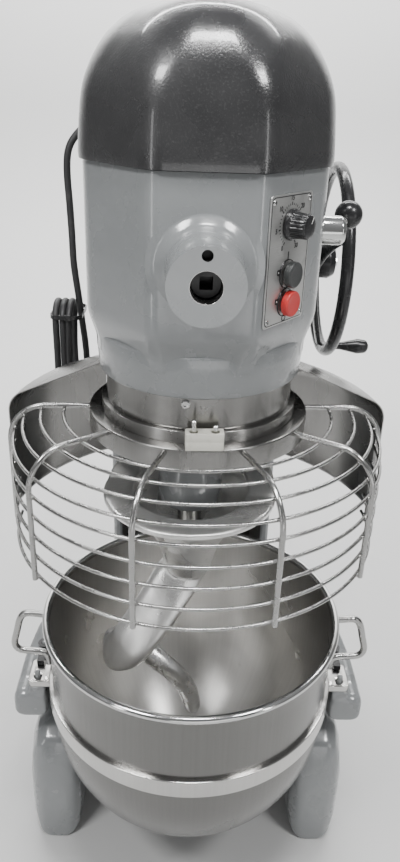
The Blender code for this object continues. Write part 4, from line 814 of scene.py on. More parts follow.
def gland():
    """The strain relief: a hexagon nut on the cover and a ribbed sleeve that bends down to the cord."""
    start = Vector((-0.1648, AXIS.y + 0.30, 1.2843))
    nut = prism(circle(0.0152, 6), 0, 0.0065, 0.0008)
    nut.transform(at(start, (-1, 0, 0)))
    washer = lathe([(0.006, -0.001), (0.0152, -0.001), (0.0155, 0.0008), (0.006, 0.0008)], 40)
    washer.transform(at(start, (-1, 0, 0)))
    drops = ((0, 0), (0.0065, 0.0002), (0.0115, 0.0035), (0.0168, 0.0080), (0.0216, 0.0128))
    line = smooth([start + Vector((-out, 0, -down)) for out, down in drops], 0.0012)
    rows = []
    for i, point in enumerate(line):
        along = (line[min(i + 1, len(line) - 1)] - line[max(i - 1, 0)]).normalized()
        share = i / (len(line) - 1)
        radius = 0.0118 - 0.0040 * share + (0.0006 if i % 4 < 2 and 0.25 < share < 0.93 else 0.0)
        place = at(point, along)
        rows.append([place @ Vector((x, y, 0)) for x, y in circle(radius, 32)])
    whole = merged([nut, washer, skin(rows)])
    return add("gland_sleeve", whole, BLACK, "machine", ["cord_gland"])


# ---------------------------------------------------------------- head
def head_outline(front=0.026, side=0.060, back=0.070):
    """The case's plan with its corners rounded as the casting's are."""
    slant_end = FACE_START + FACE_ACROSS * ((HEAD_HALF_WIDTH - FACE_START.x) / FACE_ACROSS.x)
    right = [
        (FACE_START.x, HEAD_FRONT, front), (HEAD_HALF_WIDTH, slant_end.y, side),
        (HEAD_REAR_HALF_WIDTH, 0.0, 0.5), (HEAD_REAR_HALF_WIDTH, HEAD_BACK, back),
    ]
    left = [(-x, y, radius) for x, y, radius in reversed(right)]
    return fillet(right + left, steps=12)


CASE_PLAN = head_outline()
COVER_PLAN = head_outline(0.040, 0.080, 0.080)
CROWN_PLAN = head_outline(0.110, 0.140, 0.130)


def head_row(height, inset, plan=None):
    """A plan's points at a height, drawn in towards the head's middle."""
    middle = (HEAD_FRONT + HEAD_BACK) / 2
    half_depth = (HEAD_BACK - HEAD_FRONT) / 2
    across = (HEAD_HALF_WIDTH - inset) / HEAD_HALF_WIDTH
    along = (half_depth - inset) / half_depth
    return [Vector((x * across, middle + (y - middle) * along, height)) for x, y in plan or CASE_PLAN]


def necked_row(height):
    """The case's plan while its front half narrows, in a soft shoulder, to the round neck."""
    share = eased((1.058 - height) / 0.052)
    row = []
    for point in head_row(height, 0.0):
        from_axis = point - AXIS
        radius = math.hypot(from_axis.x, min(0.0, from_axis.y))
        keep = 1 + (NECK_RADIUS / max(radius, 0.1) - 1) * share * (1 - eased(from_axis.y / 0.22))
        along = from_axis.y * keep if from_axis.y < 0 else from_axis.y
        row.append(Vector((point.x * keep, AXIS.y + along, height)))
    return row


def head_case():
    """The transmission case: upright sides that fall in to a round neck."""
    heights = [HEAD_FLOOR + 0.0005, HEAD_FLOOR + 0.003]
    heights += [1.012 + 0.003 * k for k in range(17)]
    rows = [[point.lerp(AXIS + Vector((0, 0, HEAD_FLOOR)), 0.02) for point in necked_row(HEAD_FLOOR)]]
    rows += [necked_row(height) for height in heights]
    rows += [head_row(SEAM - 0.004, 0.0), head_row(SEAM - 0.0012, 0.0006), head_row(SEAM - 0.0006, 0.0018)]
    rows += [head_row(SEAM - 0.0006, 0.010), head_row(HEAD_FLOOR + 0.013, 0.018)]
    case = skin(rows, crease=50)
    neck_profile = [
        (0.1375, NECK_BOTTOM - 0.006), (0.1432, NECK_BOTTOM - 0.006, 0.0035), (0.1461, 1.006, 0.06),
        (0.1450, 1.022, 0.004), (0.1400, 1.024), (0.1100, 1.006), (0.1100, NECK_BOTTOM + 0.001),
        (0.1375, NECK_BOTTOM + 0.001),
    ]
    neck = turned(neck_profile, 128, closed=True)
    neck.transform(Matrix.Translation(AXIS))
    add("head_case", merged([case, neck]), GREY, "machine", ["head_casting"])
    attachment_hub()


def attachment_hub():
    """The flat-faced boss on the case's front, its square-drive bore and the locating hole above."""
    place = at(HUB, (0, 1, 0))
    pin_up = 0.0335
    holes = [circle(0.0184, 64)[::-1], circle(0.0062, 32, y=pin_up)[::-1]]
    face = prism(circle(0.0430, 128), 0.0, 0.0040, 0.0, holes)
    barrel_profile = [
        (0.0420, 0.0030), (0.0430, 0.0028), (0.0442, 0.060, 0.10), (0.0455, 0.0870, 0.016),
        (0.0600, 0.0972, 0.012), (0.0700, 0.0982),
    ]
    barrel = turned(barrel_profile, 128, 8, crease=50)
    bore = lathe([(0.0186, 0.0038), (0.0178, 0.0048), (0.0178, 0.090)], 64)
    add("attachment_hub", merged([face, barrel, bore]), GREY, "machine", place=place)
    ring = turned([(0.0174, 0.022), (0.0174, 0.0004, 0.0006), (0.0185, 0.0004)])
    add("hub_bore_ring", ring, ROD, "machine", place=place)
    # A black cup lines the locating hole: painted shade inside the hole.
    cup = lathe([(0.0062, 0.0006), (0.0060, 0.0040), (0.0060, 0.0130), (0.0, 0.0130)], 48)
    above = place @ Matrix.Translation((0, pin_up, 0))
    add("hub_pin_hole_shade", cup, INK_AND_HOLE_SHADE, "machine", place=above)


def motor_cover():
    """The dark cover: nearly upright sides that turn over into a long, low crown."""
    rise = HEAD_TOP - SEAM
    levels = [(0.0, -0.0050), (0.06, -0.0054), (0.35, -0.0015), (0.52, 0.005), (0.68, 0.018)]
    levels += [(0.80, 0.034), (0.895, 0.056), (0.96, 0.086), (0.99, 0.118), (1.0, 0.150)]
    curve = smooth([Vector((inset, up * rise, 0)) for up, inset in levels], 0.007)

    def plan_at(height):
        share = eased((height / rise - 0.38) / 0.5)
        return [low.lerp(high, share) for low, high in zip(COVER_PLAN, CROWN_PLAN)]

    inside = [head_row(SEAM + 0.0015 + p.y * 0.968, p.x + 0.005, plan_at(p.y)) for p in reversed(curve[::2])]
    edge = [head_row(SEAM + 0.0004, 0.0005, COVER_PLAN)]
    rows = inside + edge + [head_row(SEAM + p.y, p.x, plan_at(p.y)) for p in curve]
    add("motor_cover_shell", skin(rows, crease=60), CHARCOAL, "machine", ["motor_cover"])
    # A black band set back under the cover's edge: painted shade in the gap between cover and case.
    corners = ((-0.0004, 0.0012), (0.0030, 0.0012), (0.0030, 0.009), (-0.0004, 0.009))
    lip = [head_row(SEAM + up, inset) for up, inset in corners]
    add("cover_seam_shade", skin(lip, loop=True), RUBBER_AND_SEAM_SHADE, "machine")


def collar():
    """The drip collar with its beaded top edge, the plug screw in its front and the track under it."""
    low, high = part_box("drip_collar")
    profile = [
        (0.1318, high.z), (0.1360, high.z, 0.0006), (0.1362, high.z - 0.0042, 0.0012),
        (0.1342, high.z - 0.0062, 0.0020), (0.1340, low.z + 0.002, 0.001), (0.1334, low.z),
        (0.1318, low.z),
    ]
    sheet = turned(profile, 144, 4, closed=True)
    add("collar_sheet", sheet, STAINLESS, "machine", ["drip_collar"], place=at(AXIS))
    low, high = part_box("guard_track")
    profile = [
        (0.1323, high.z), (0.1416, high.z, 0.0008), (0.1418, low.z + 0.0080, 0.0020),
        (0.1518, low.z + 0.0080, 0.0012), (0.1520, low.z, 0.0008), (0.1323, low.z),
    ]
    track = turned(profile, 144, 4, closed=True)
    add("track_ring", track, STAINLESS, "machine", ["guard_track"], place=at(AXIS))
    low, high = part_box("collar_plug")
    head = Vector(((low.x + high.x) / 2, low.y, (low.z + high.z) / 2))
    outward = (head - AXIS - Vector((0, 0, head.z))).normalized()
    profile = [(0, 0.0008), (0.0026, 0.0008), (0.0030, 0.0030), (0.0045, 0.0030, 0.0006)]
    profile += [(0.0062, 0.0020, 0.0012), (0.0062, 0.0)]
    place = at(AXIS + outward * 0.1344 + Vector((0, 0, head.z)), outward)
    add("collar_screw", turned(profile, 40), POLISHED, "machine", ["collar_plug"], place=place)


def rear_guards():
    """The two bent sheets beside the column, with a rolled lower hem."""
    shoulder = fillet([(0.1362, 0.960), (0.2940, 0.8885, 0.036), (0.2940, 0.700)], closed=False, steps=12)
    inside = [(radius - REAR_SHEET, height - 0.0008) for radius, height in reversed(shoulder)]
    section = [(radius, height) for radius, height in shoulder] + inside
    place = at(AXIS)
    for side, name in ((-1, "left"), (1, "right")):
        turns = [side * math.radians(REAR_FIRST + REAR_SWEPT * i / 28) for i in range(29)]
        rows = [[around(radius, turn, height) - AXIS for radius, height in section] for turn in turns]
        sheet = skin(rows, crease=45)
        add(f"rear_sheet_{name}", sheet, STAINLESS, "machine", [f"rear_guard_{name}"], place=place)
        turns = [side * math.radians(REAR_FIRST + REAR_SWEPT * i / 24) for i in range(25)]
        hem = wire([around(0.2932, turn, 0.7022) - AXIS for turn in turns], 0.0020, 4)
        add(f"rear_hem_{name}", hem, POLISHED, "machine", place=place)


# ---------------------------------------------------------------- wire guard
def guard_steel(name, data, look=ROD, nodes=()):
    """A steel piece of the swinging guard, drawn round the bowl's axis."""
    add(name, data, look, "wire_guard_body", nodes, at(AXIS))


def wire_guard():
    """Bent rods, thin welded hoops, the turning ring, the latch block and its two pins."""
    bend = 0.055
    level = 0.896
    for i, turn in enumerate(GUARD_ROD_TURNS):
        path = [(RING_RADIUS - 0.001, level), (GUARD_RADIUS - bend, level)]
        for k in range(1, 13):
            angle = math.radians(7.5 * k)
            path.append((GUARD_RADIUS - bend + bend * math.sin(angle), level - bend + bend * math.cos(angle)))
        path.append((GUARD_RADIUS, 0.7042))
        points = [around(radius, turn, height) - AXIS for radius, height in path]
        guard_steel(f"guard_rod_{i + 1}", wire(points, GUARD_ROD), nodes=[] if i else ["wire_guard"])
    rows = [(0.1975, 0.8925), (0.2305, 0.8905), (0.2562, 0.8795), (0.2708, 0.8590)]
    rows += [(GUARD_RADIUS - 0.0058, 0.833 - 0.0315 * i) for i in range(5)]
    for number, (radius, height) in enumerate(rows):
        turns = [GUARD_TURN + math.radians(92.5) * (k / 36 - 1) for k in range(73)]
        points = [around(radius, turn, height) - AXIS for turn in turns]
        guard_steel(f"guard_hoop_{number + 1}", wire(points, GUARD_HOOP))
    welds(rows)
    profile = [
        (0.1424, RING_TOP, 0.0006), (RING_RADIUS, RING_TOP, 0.0022),
        (RING_RADIUS, RING_BOTTOM, 0.0010), (RING_RADIUS - 0.0028, RING_BOTTOM, 0.0008),
        (RING_RADIUS - 0.0028, RING_TOP - 0.004, 0.0015), (0.1424, RING_TOP - 0.004, 0.0006),
    ]
    guard_steel("guard_ring_sheet", turned(profile, 160, closed=True), STAINLESS, ["guard_ring"])
    latch()


def welds(hoops):
    """Small beads where every hoop meets every rod."""
    meshes = []
    for turn in GUARD_ROD_TURNS:
        for radius, height in hoops:
            bead = bmesh.new()
            bmesh.ops.create_icosphere(bead, subdivisions=2, radius=1.0)
            mesh = bpy.data.meshes.new("bead")
            bead.to_mesh(mesh)
            bead.free()
            mesh.shade_smooth()
            outward = 0.0022 if height < 0.85 else 0.0010
            centre = around(radius + outward, turn, height + (0.0 if height < 0.85 else 0.0018)) - AXIS
            size = Matrix.Diagonal((0.0042, 0.0034, 0.0032, 1.0))
            mesh.transform(Matrix.Translation(centre) @ Matrix.Rotation(turn, 4, "Z") @ size)
            meshes.append(mesh)
    guard_steel("guard_welds", merged(meshes))


def latch():
    """The pale nylon block on the ring's front, with a recess round each of its two pins."""
    centre = around(0.15275, GUARD_TURN, 0.0)
    across = Vector((math.cos(GUARD_TURN), math.sin(GUARD_TURN), 0))
    low, high = (corner.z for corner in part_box("guard_latch_block"))
    place = facing(centre, across, Vector((-across.y, across.x, 0)))
    outline = box_outline(0.0250, 0.0092, 0.0025)
    holes = [circle(0.0056, 28, x, -0.0006) for x in (-0.014, 0.014)]
    upper = prism(outline, low + 0.012, high, 0.0008, holes)
    lower = prism(outline, low, low + 0.013, 0.0008)
    add("latch_block", merged([upper, lower]), NYLON, "wire_guard_body", ["guard_latch_block"], place=place)
    for name, x in (("left", -0.014), ("right", 0.014)):
        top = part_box(f"latch_pin_{name}")[1].z
        profile = [
            (0, top), (0.0026, top, 0.0005), (0.0036, top - 0.0012, 0.0004), (0.0036, top - 0.0060, 0.0004),
            (0.0030, top - 0.0070, 0.0004), (0.0030, high - 0.010), (0.0, high - 0.010),
        ]
        pin = turned(profile, 36)
        stand = at(place @ Vector((x, -0.0006, 0)))
        add(f"latch_pin_{name}_turned", pin, POLISHED, "wire_guard_body", [f"latch_pin_{name}"], place=stand)


# ---------------------------------------------------------------- planetary and dough arm
def planetary():
    """The offset boss under the turning disc, with its oil groove and swelling lower collar."""
    low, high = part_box("agitator_shaft")
    centre = Vector(((low.x + high.x) / 2, (low.y + high.y) / 2, 0))
    profile = [
        (0.0179, 0.945), (0.0390, 0.945), (0.0390, 0.8940, 0.002), (0.0378, 0.8925, 0.001),
        (0.0378, 0.8895, 0.001), (0.0390, 0.8880, 0.002), (0.0390, 0.8400, 0.006),
        (0.0455, 0.8200, 0.010), (0.0468, 0.7980, 0.014), (0.0430, 0.7770, 0.009),
        (0.0340, 0.7722, 0.003), (0.0179, 0.7722),
    ]
    boss = turned(profile, 96, 6, crease=50)
    boss.transform(Matrix.Translation(centre))
    profile = [
        (0.0, 0.966), (0.124, 0.966), (0.128, 0.962, 0.003), (0.128, 0.936, 0.006),
        (0.118, 0.928, 0.004), (0.060, 0.930, 0.02), (0.0, 0.930),
    ]
    disc = turned(profile, 128, 6, crease=50)
    disc.transform(Matrix.Translation(AXIS))
    add("planetary_boss", merged([disc, boss]), GREY, "planetary_body", ["planetary_casting"])


def rounded_section(centre, side, up, half_width, half_height, power, count):
    """A ring of points round a centre, between an ellipse and a rectangle."""
    row = []
    for a in ring_angles(count):
        across, above = squarish(a, 2 / power)
        row.append(centre + side * (across * half_width) + up * (above * half_height))
    return row


def dough_arm():
    """The cup round the boss, its flange and the blade with its tail, ready to be cast together."""
    low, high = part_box("agitator_shaft")
    middle = Vector(((low.x + high.x) / 2, (low.y + high.y) / 2, 0))
    bore = (high.x - low.x) / 2 + 0.0004
    profile = [
        (bore, 0.690), (bore, 0.738), (0.050, 0.742, 0.02), (0.074, 0.762, 0.02), (0.084, 0.790),
        (0.098, 0.790), (0.094, 0.776, 0.02), (0.066, 0.738, 0.03), (0.048, 0.706, 0.03),
        (0.040, 0.676, 0.02), (0.034, 0.652, 0.004), (bore, 0.650),
    ]
    cup = turned(profile, closed=True)
    cup.transform(Matrix.Translation(middle))
    plug = lathe([(0.0, 0.646), (0.030, 0.648), (0.034, 0.656), (0.030, 0.689), (0.0, 0.6895)], 64)
    plug.transform(Matrix.Translation(middle))
    rows = []
    for turn in ring_angles(120):
        back = max(0.0, -math.cos(turn + math.radians(12))) ** 0.8
        tilt = math.radians(46) * back
        outward = Vector((math.sin(turn), -math.cos(turn), 0.0))
        side = outward * math.cos(tilt) + Vector((0, 0, math.sin(tilt)))
        up = Vector((0, 0, math.cos(tilt))) - outward * math.sin(tilt)
        centre = middle + outward * (0.1065 - 0.004 * back) + Vector((0, 0, 0.7865 + 0.038 * back))
        rows.append(rounded_section(centre, side, up, 0.0205, 0.0058, 4.0, 28))
    return [cup, plug, skin(rows, loop=True), arm_blade()]


ARM_STATIONS = (
    ((-0.0100, -0.0620, 0.674), 0.030, 0.024), ((-0.0150, -0.0650, 0.656), 0.034, 0.019),
    ((-0.0300, -0.0725, 0.630), 0.036, 0.015), ((-0.0520, -0.0830, 0.594), 0.036, 0.013),
    ((-0.0780, -0.0930, 0.554), 0.036, 0.013), ((-0.1020, -0.0950, 0.520), 0.035, 0.014),
    ((-0.1220, -0.0800, 0.496), 0.031, 0.016), ((-0.1300, -0.0480, 0.482), 0.027, 0.0165),
    ((-0.1160, -0.0200, 0.466), 0.023, 0.0165), ((-0.0850, -0.0140, 0.446), 0.020, 0.0165),
    ((-0.0500, -0.0260, 0.424), 0.018, 0.0165), ((-0.0190, -0.0320, 0.396), 0.0165, 0.0160),
    ((-0.0010, -0.0300, 0.362), 0.0160, 0.0160), ((0.0060, -0.0300, 0.330), 0.0145, 0.0145),
    ((0.0070, -0.0300, 0.319), 0.0100, 0.0100),
)


def arm_blade():
    """The flat blade that twists, bends back under itself and runs out in a round tail."""
    centres = [Vector(place) for place, _, _ in ARM_STATIONS]
    root = Vector((-0.012, -0.060, 0.0))
    packed = []
    for i, (_, half_width, half_thickness) in enumerate(ARM_STATIONS):
        along = (centres[min(i + 1, len(centres) - 1)] - centres[max(i - 1, 0)]).normalized()
        outward = centres[i] - root
        outward.z = 0.0
        lean = outward + Vector((0.0, -0.09, 0.05)) if i < 6 else outward
        side = along.cross(lean).normalized()
        packed.append(Vector((*centres[i], half_width, half_thickness, *side.cross(along).normalized())))
    line = smooth(packed, 0.02)
    rows = []
    for i, station in enumerate(line):
        before, after = line[max(i - 1, 0)], line[min(i + 1, len(line) - 1)]
        along = (Vector(after[:3]) - Vector(before[:3])).normalized()
        side = along.cross(Vector(station[5:])).normalized()
        power = 3.4 - 1.2 * clamped((0.52 - station[2]) / 0.05)
        centre = AXIS + Vector(station[:3])
        rows.append(rounded_section(centre, side, side.cross(along), station[3], station[4], power, 40))
    return skin(rows)


def castings():
    """The dough arm, and the CAD's base and yoke with their corners softened."""
    cast("dough_arm_casting", dough_arm(), 0.0017, 6, ALUMINIUM, "agitator_body", ["dough_arm"])
    for name, node, voxel, rounds, body in (
        ("base_shell", "base_casting", 0.005, 10, "machine"),
        ("support_yoke", "bowl_support", 0.003, 6, "carriage_body"),
    ):
        cast(name, [frame["nodes"][node].data.copy()], voxel, rounds, GREY, body, [node])


# ---------------------------------------------------------------- bowl
def bowl_steel(name, data, look, nodes=(), place=None):
    add(name, data, look, "carriage_body", nodes, place or at(AXIS))


def bowl():
    """The spun bowl with a rolled rim, its band with ears, and two bent rod handles."""
    outer = BOWL_WALL
    inner = BOWL_WALL - BOWL_SHEET
    round_centre = BOWL_BOTTOM + BOWL_WALL
    quarter = [math.pi / 2 * k / 32 for k in range(33)]
    lining = [(inner * math.sin(a), round_centre - inner * math.cos(a)) for a in quarter]
    lining += [(inner, round_centre + 0.05), (inner, BOWL_RIM - 0.05), (inner, BOWL_RIM - 0.010)]
    roll = 0.0060
    lip = []
    for k in range(15):
        angle = math.radians(185 - 17 * k)
        lip.append((outer + 0.0045 + roll * math.cos(angle), BOWL_RIM - roll + roll * math.sin(angle)))
    sheet = [
        lip[-1], (outer + 0.0006, BOWL_RIM - 0.0128), (outer, BOWL_RIM - 0.016), (outer, BOWL_RIM - 0.05),
        (outer, round_centre + 0.05),
    ]
    sheet += [(outer * math.cos(a), round_centre - outer * math.sin(a)) for a in quarter]
    # One sheet in two colours: painted shade on the outside, painted light on the lining.
    bowl_steel("bowl_shell", lathe(sheet, 200, crease=60), BOWL_OUTSIDE_SHADED, ["bowl"])
    bowl_steel("bowl_lining", lathe(lining, 200, crease=60), BOWL_INSIDE_LIT)
    bowl_steel("bowl_rim", lathe([lining[-1], *lip], 200, crease=60), POLISHED)
    band = fillet(
        [
            (outer - 0.0005, BAND_HIGH, 0.0), (0.2463, BAND_HIGH, 0.0018), (0.2463, BAND_LOW, 0.0018),
            (outer - 0.0005, BAND_LOW, 0.0),
        ],
        closed=False,
    )
    hoop = lathe(band, 160, closed=True)
    ears = []
    for side in (-1, 1):
        corners = [(-0.0240, -0.028), (0.0155, -0.028, 0.007), (0.0155, 0.028, 0.007), (-0.0240, 0.028)]
        holes = [circle(0.0068, 32, y=-0.014)]
        ear = prism(fillet(corners, steps=6), BAND_LOW + 0.0003, BAND_LOW + 0.0122, 0.0012, holes)
        if side < 0:
            ear.transform(Matrix.Scale(-1, 4, (1, 0, 0)))
            ear.flip_normals()
        ear.transform(Matrix.Translation((side * 0.268, 0, 0)))
        ears.append(ear)
    bowl_steel("bowl_hoop", merged([hoop, *ears]), BAND, ["bowl_band"])
    for side, name in ((-1, "left"), (1, "right")):
        handle(side, name)


def handle(side, name):
    """A bent rod from a weld under the rim out and down to the band."""
    corners = [
        (0.2412, 0.0, 0.500), (0.2600, 0.0, 0.502), (0.2830, 0.0, 0.503), (0.2935, 0.0, 0.492),
        (0.3010, 0.0, 0.465), (0.3070, 0.0, 0.438), (0.3000, 0.0, 0.424), (0.2800, 0.0, 0.4205),
        (0.2640, 0.0, 0.4190), (0.2540, -0.001, 0.4160), (0.2492, -0.0025, 0.4080),
        (0.2485, -0.0030, BAND_HIGH + 0.0005),
    ]
    points = smooth([AXIS + Vector((side * x, y, z)) for x, y, z in corners], 0.004)
    rod = wire(points, 0.0060, 7)
    add(f"handle_rod_{name}", rod, ROD, "carriage_body", [f"bowl_handle_{name}"])
    bead = turned([(0.0, 0.004), (0.0062, 0.004, 0.001), (0.0090, 0.0, 0.002), (0.0, 0.0)], 40)
    weld = at(AXIS + Vector((side * 0.2395, 0, 0.500)), (side, 0, 0))
    bowl_steel(f"handle_weld_{name}", bead, STAINLESS, place=weld)


# ---------------------------------------------------------------- controls
def plate_place(along=0.0, up=0.0, out=PLATE_TOP):
    """A place on the slanted switch plate, measured from the plate's middle."""
    centre = PLATE_CENTRE + FACE_ACROSS * along + Vector((0, 0, up)) + FACE_OUT * out
    return facing(centre, FACE_ACROSS, (0, 0, 1))


def marks(name, outlines, place, look=INK_AND_HOLE_SHADE, height=0.00012):
    """Flat printed marks."""
    meshes = [prism(outline, 0, height, 0, holes) for outline, holes in outlines]
    add(name, merged(meshes), look, "machine", place=place)


def switch_plate():
    """The plate with its printed border, dial, button rings, side tabs and four screws."""
    half_width = PLATE_SIZE[0] / 2
    half_height = PLATE_SIZE[1] / 2
    sheet = prism(box_outline(half_width, half_height, 0.004), 0.0004, PLATE_TOP, 0.0004)
    add("plate_sheet", sheet, PLATE, "machine", ["switch_plate"], plate_place(out=0.0))
    border = box_outline(half_width - 0.0018, half_height - 0.0018, 0.0070)
    border_hole = list(reversed(box_outline(half_width - 0.0029, half_height - 0.0029, 0.0060)))
    marks("plate_border", [(border, [border_hole])], plate_place())
    marks("timer_ticks", [(tick(k), []) for k in range(31)], plate_place())
    for name, up in (("start", START_UP), ("stop", STOP_UP)):
        profile = [(0.0165, 0.0), (0.0178, 0.0), (0.0176, 0.0014, 0.0005), (0.0167, 0.0018, 0.0004)]
        bezel = turned([*profile, (0.0165, 0.0)], 64)
        add(f"{name}_bezel", bezel, BLACK, "machine", place=plate_place(0, up))
        tab = [(x - 0.0196, y + up + 0.004) for x, y in box_outline(0.0026, 0.0034, 0.0008)]
        marks(f"{name}_tab", [(tab, [])], plate_place(), height=0.0008)
        dot = circle(0.0009, 16, -0.0200, up + 0.004)
        marks(f"{name}_tab_dot", [(dot, [])], plate_place(), WHITE_INK, 0.0010)
    bar = [(x, y + START_UP + 0.022) for x, y in box_outline(0.0013, 0.0048, 0.0005, 2)]
    marks("start_mark", [(bar, [])], plate_place())
    outer, inner = (circle(radius, 36, y=STOP_UP - 0.0198) for radius in (0.0047, 0.0028))
    marks("stop_mark", [(outer, [inner[::-1]])], plate_place())
    numbers()
    for number, (x, y) in enumerate(((-1, 1), (1, 1), (-1, -1), (1, -1))):
        place = plate_place(x * (half_width - 0.0068), y * (half_height - 0.0075))
        cross_screw(f"plate_screw_{number + 1}", 0.0034, place, 25 * number)


def tick(number):
    """One mark of the timer's dial. Every fifth is longer and thicker."""
    angle = math.radians(240 - 10 * number)
    reach, half = (0.0262, 0.0009) if number % 5 == 0 else (0.0248, 0.00055)
    direction = Vector((math.cos(angle), math.sin(angle)))
    side = Vector((-direction.y, direction.x)) * half
    start = direction * 0.0222 + Vector((0, TIMER_UP))
    end = direction * reach + Vector((0, TIMER_UP))
    return [start - side, end - side, end + side, start + side]


def numbers():
    """The timer dial's minutes, from 0 to 30."""
    for k in range(7):
        angle = math.radians(240 - 50 * k)
        curve = bpy.data.curves.new(f"dial_{k}", "FONT")
        curve.body = str(5 * k)
        curve.size = 0.0080
        curve.align_x = "CENTER"
        curve.align_y = "CENTER"
        curve.extrude = 0.00006
        curve.offset = 0.00025
        up = TIMER_UP + 0.0305 * math.sin(angle)
        place = plate_place(0.0312 * math.cos(angle), up, PLATE_TOP + 0.0001)
        add(f"dial_{k}", curve, INK_AND_HOLE_SHADE, "machine", place=place)


def cross_screw(node, radius, place, turn):
    """A pan head, with its cross recess drawn as a flat black cross of painted shade."""
    profile = [(0, 0.0022), (radius * 0.62, 0.0020, 0.001), (radius, 0.0010, 0.0005), (radius, 0.0)]
    add(f"{node}_head", turned(profile, 32), POLISHED, "machine", [node], place=place)
    reach = radius * 0.55
    arms = [box_outline(reach * a, reach * b, 0.0002, 2) for a, b in ((1.0, 0.22), (0.22, 1.0))]
    # The recess is a black cross set into the head: painted shade, not a cut.
    recess = merged([prism(arm, 0.0018, 0.0023) for arm in arms])
    place = place @ Matrix.Rotation(math.radians(turn), 4, "Z")
    add(f"{node}_recess", recess, INK_AND_HOLE_SHADE, "machine", place=place)


def timer_knob():
    """A black skirted knob with a fluted grip, a smooth cap and a pale pointer line."""
    place = plate_place(0, TIMER_UP)
    levels = [(0.0185, 0.0010, 0), (0.0186, 0.0040, 0), (0.0182, 0.0052, 0), (0.0170, 0.0060, 0)]
    levels += [(0.0160, 0.0066, 0.3), (0.0156, 0.0080, 1), (0.0150, 0.0180, 1), (0.0146, 0.0240, 1)]
    levels += [(0.0138, 0.0256, 0.5), (0.0126, 0.0266, 0), (0.0090, 0.0269, 0), (0.0040, 0.0270, 0)]
    rows = []
    for radius, height, flute in levels:
        row = []
        for angle in ring_angles(144):
            groove = max(0.0, math.cos(18 * angle)) ** 2 * 0.0011 * flute
            row.append(((radius - groove) * math.cos(angle), (radius - groove) * math.sin(angle), height))
        rows.append(row)
    add("timer_grip", skin(rows, crease=70), BLACK, "timer_body", ["timer_knob"], place=place)
    line = [(-0.0006, 0.004), (0.0006, 0.004), (0.0006, 0.0122), (-0.0006, 0.0122)]
    pointer = prism(line, 0.0268, 0.02715)
    place = place @ Matrix.Rotation(math.radians(-30), 4, "Z")
    add("timer_pointer", pointer, WHITE_INK, "timer_body", place=place)


def push_button(node, up, look):
    """A round push button with a faintly hollow face."""
    profile = [
        (0.0, 0.0134), (0.0095, 0.0136, 0.01), (0.0142, 0.0139, 0.0010), (0.0160, 0.0126, 0.0016),
        (0.0160, 0.0052, 0.0010), (0.0146, 0.0040, 0.0008), (0.0120, 0.0042), (0.0, 0.0042),
    ]
    cap = turned(profile, 72, 6)
    add(f"{node}_cap", cap, look, f"{node}_body", [node], place=plate_place(0, up))


def controls():
    switch_plate()
    timer_knob()
    push_button("start_button", START_UP, DARK_GREY)
    push_button("stop_button", STOP_UP, RED)


def shift_lever():
    """The chrome boss, its threaded rod and the black ball."""
    centre = Vector((0, AXIS.y, SHIFT_HEIGHT))
    profile = [
        (0.0, SHIFT_BOSS_END), (0.0150, SHIFT_BOSS_END, 0.002),
        (0.0192, SHIFT_BOSS_END - 0.0045, 0.0045), (0.0192, HEAD_HALF_WIDTH + 0.0006, 0.0004),
        (0.0120, HEAD_HALF_WIDTH + 0.0006), (0.0120, 0.120),
    ]
    boss = turned(profile, 80, 8)
    body = "shift_lever_body"
    add("shift_boss", boss, POLISHED, body, ["shift_shaft"], place=at(centre, (1, 0, 0)))
    root = Vector((0.1804, AXIS.y, SHIFT_HEIGHT))
    reach = SHIFT_KNOB - root
    length = reach.length - SHIFT_KNOB_RADIUS * 0.7
    ridges = [(0.0, 0.010)]
    pitch = (length - 0.012) / 14
    for k in range(14):
        ridges += [(0.0046, 0.012 + pitch * k), (0.0042, 0.012 + pitch * (k + 0.5))]
    ridges += [(0.0046, length), (0.0, length)]
    add("shift_rod", lathe(ridges, 32), POLISHED, body, place=at(root, reach))
    radius = SHIFT_KNOB_RADIUS
    angles = [math.pi * k / 40 for k in range(34)]
    ball = [(radius * math.sin(a), radius * math.cos(a)) for a in angles]
    ball += [(0.0082, -radius * 0.90), (0.0066, -radius * 0.905), (0.0, -radius * 0.84)]
    knob = lathe(ball, 64, crease=25)
    add("shift_ball", knob, BLACK, body, ["shift_knob"], place=at(SHIFT_KNOB, reach))


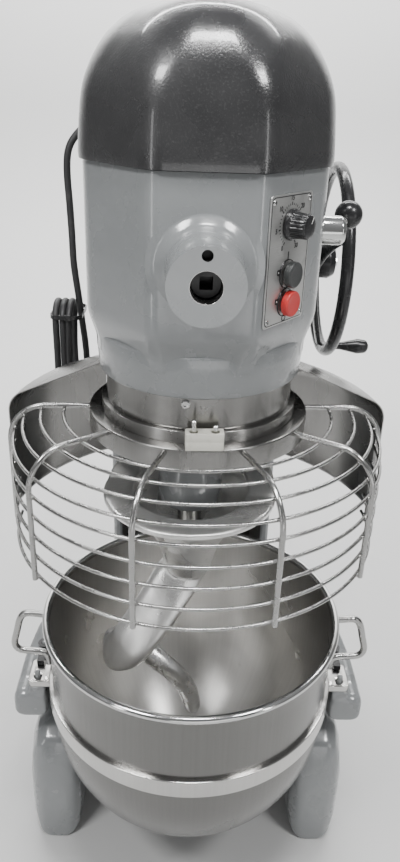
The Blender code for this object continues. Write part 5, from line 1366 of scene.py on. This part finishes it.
# ---------------------------------------------------------------- handwheel
def handwheel():
    """A black moulded wheel: a thick glossy rim, three wide tapering spokes and a hub with its nut."""
    place = at(Vector((0, WHEEL.y, WHEEL.z)), (1, 0, 0))
    rim = lathe(circle(0.0108, 20, WHEEL_RADIUS, WHEEL.x), 128, closed=True)
    add("wheel_rim", rim, BLACK, "handwheel_body", ["handwheel"], place=place)
    hub_profile = [
        (0.0112, 0.1675), (0.0240, 0.1675, 0.002), (0.0285, 0.1900, 0.010), (0.0300, 0.2320, 0.006),
        (0.0240, 0.2428, 0.003), (0.0112, 0.2430),
    ]
    hub = turned(hub_profile, 80, closed=True)
    spokes = []
    for k in range(3):
        turn = Matrix.Rotation(math.radians(60 + 120 * k), 4, "X")
        rows = []
        for share in (0.0, 0.12, 0.3, 0.5, 0.7, 0.86, 1.0):
            distance = 0.020 + (WHEEL_RADIUS - 0.020) * share
            half = 0.026 - 0.030 * share + 0.026 * share**2
            height = 0.210 + 0.021 * share**1.6
            thick = 0.0056 - 0.0012 * share
            row = []
            for a in ring_angles(24):
                across, deep = squarish(a, 0.7)
                row.append(turn @ Vector((height + deep * thick, across * half, distance)))
            rows.append(row)
        mesh = skin(rows, crease=60)
        mesh.transform(place.inverted() @ Matrix.Translation((0, WHEEL.y, WHEEL.z)))
        spokes.append(mesh)
    add("wheel_spider", merged([hub, *spokes]), BLACK, "handwheel_body", place=place)
    nut = prism(circle(0.0095, 6), 0.2410, 0.2480, 0.0008)
    add("wheel_nut", nut, POLISHED, "handwheel_body", place=place)
    low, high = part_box("handwheel_grip")
    place = at(Vector((0, (low.y + high.y) / 2, (low.z + high.z) / 2)), (1, 0, 0))
    grip_profile = [
        (0.0046, low.x), (0.0078, low.x, 0.001), (0.0078, low.x + 0.003, 0.002),
        (0.0060, low.x + 0.009, 0.008), (0.0072, low.x + 0.026, 0.040),
        (0.0142, low.x + 0.058, 0.018), (0.0120, low.x + 0.0745, 0.009), (0.0046, high.x),
    ]
    grip = turned(grip_profile, 64, 8, crease=60)
    add("grip_turned", grip, BLACK, "grip_body", ["handwheel_grip"], place=place)
    bolt_profile = [(0.0, high.x + 0.0009), (0.0034, high.x + 0.0006, 0.0005), (0.0040, high.x - 0.003)]
    bolt_profile += [(0.0042, 0.2300), (0.0, 0.2300)]
    bolt = turned(bolt_profile, 32)
    add("grip_bolt", bolt, POLISHED, "handwheel_body", place=place)


# ---------------------------------------------------------------- assembly
carry_over()
camera()
studio()
floor()
cord()
head_case()
motor_cover()
collar()
rear_guards()
wire_guard()
planetary()
castings()
bowl()
controls()
shift_lever()
handwheel()
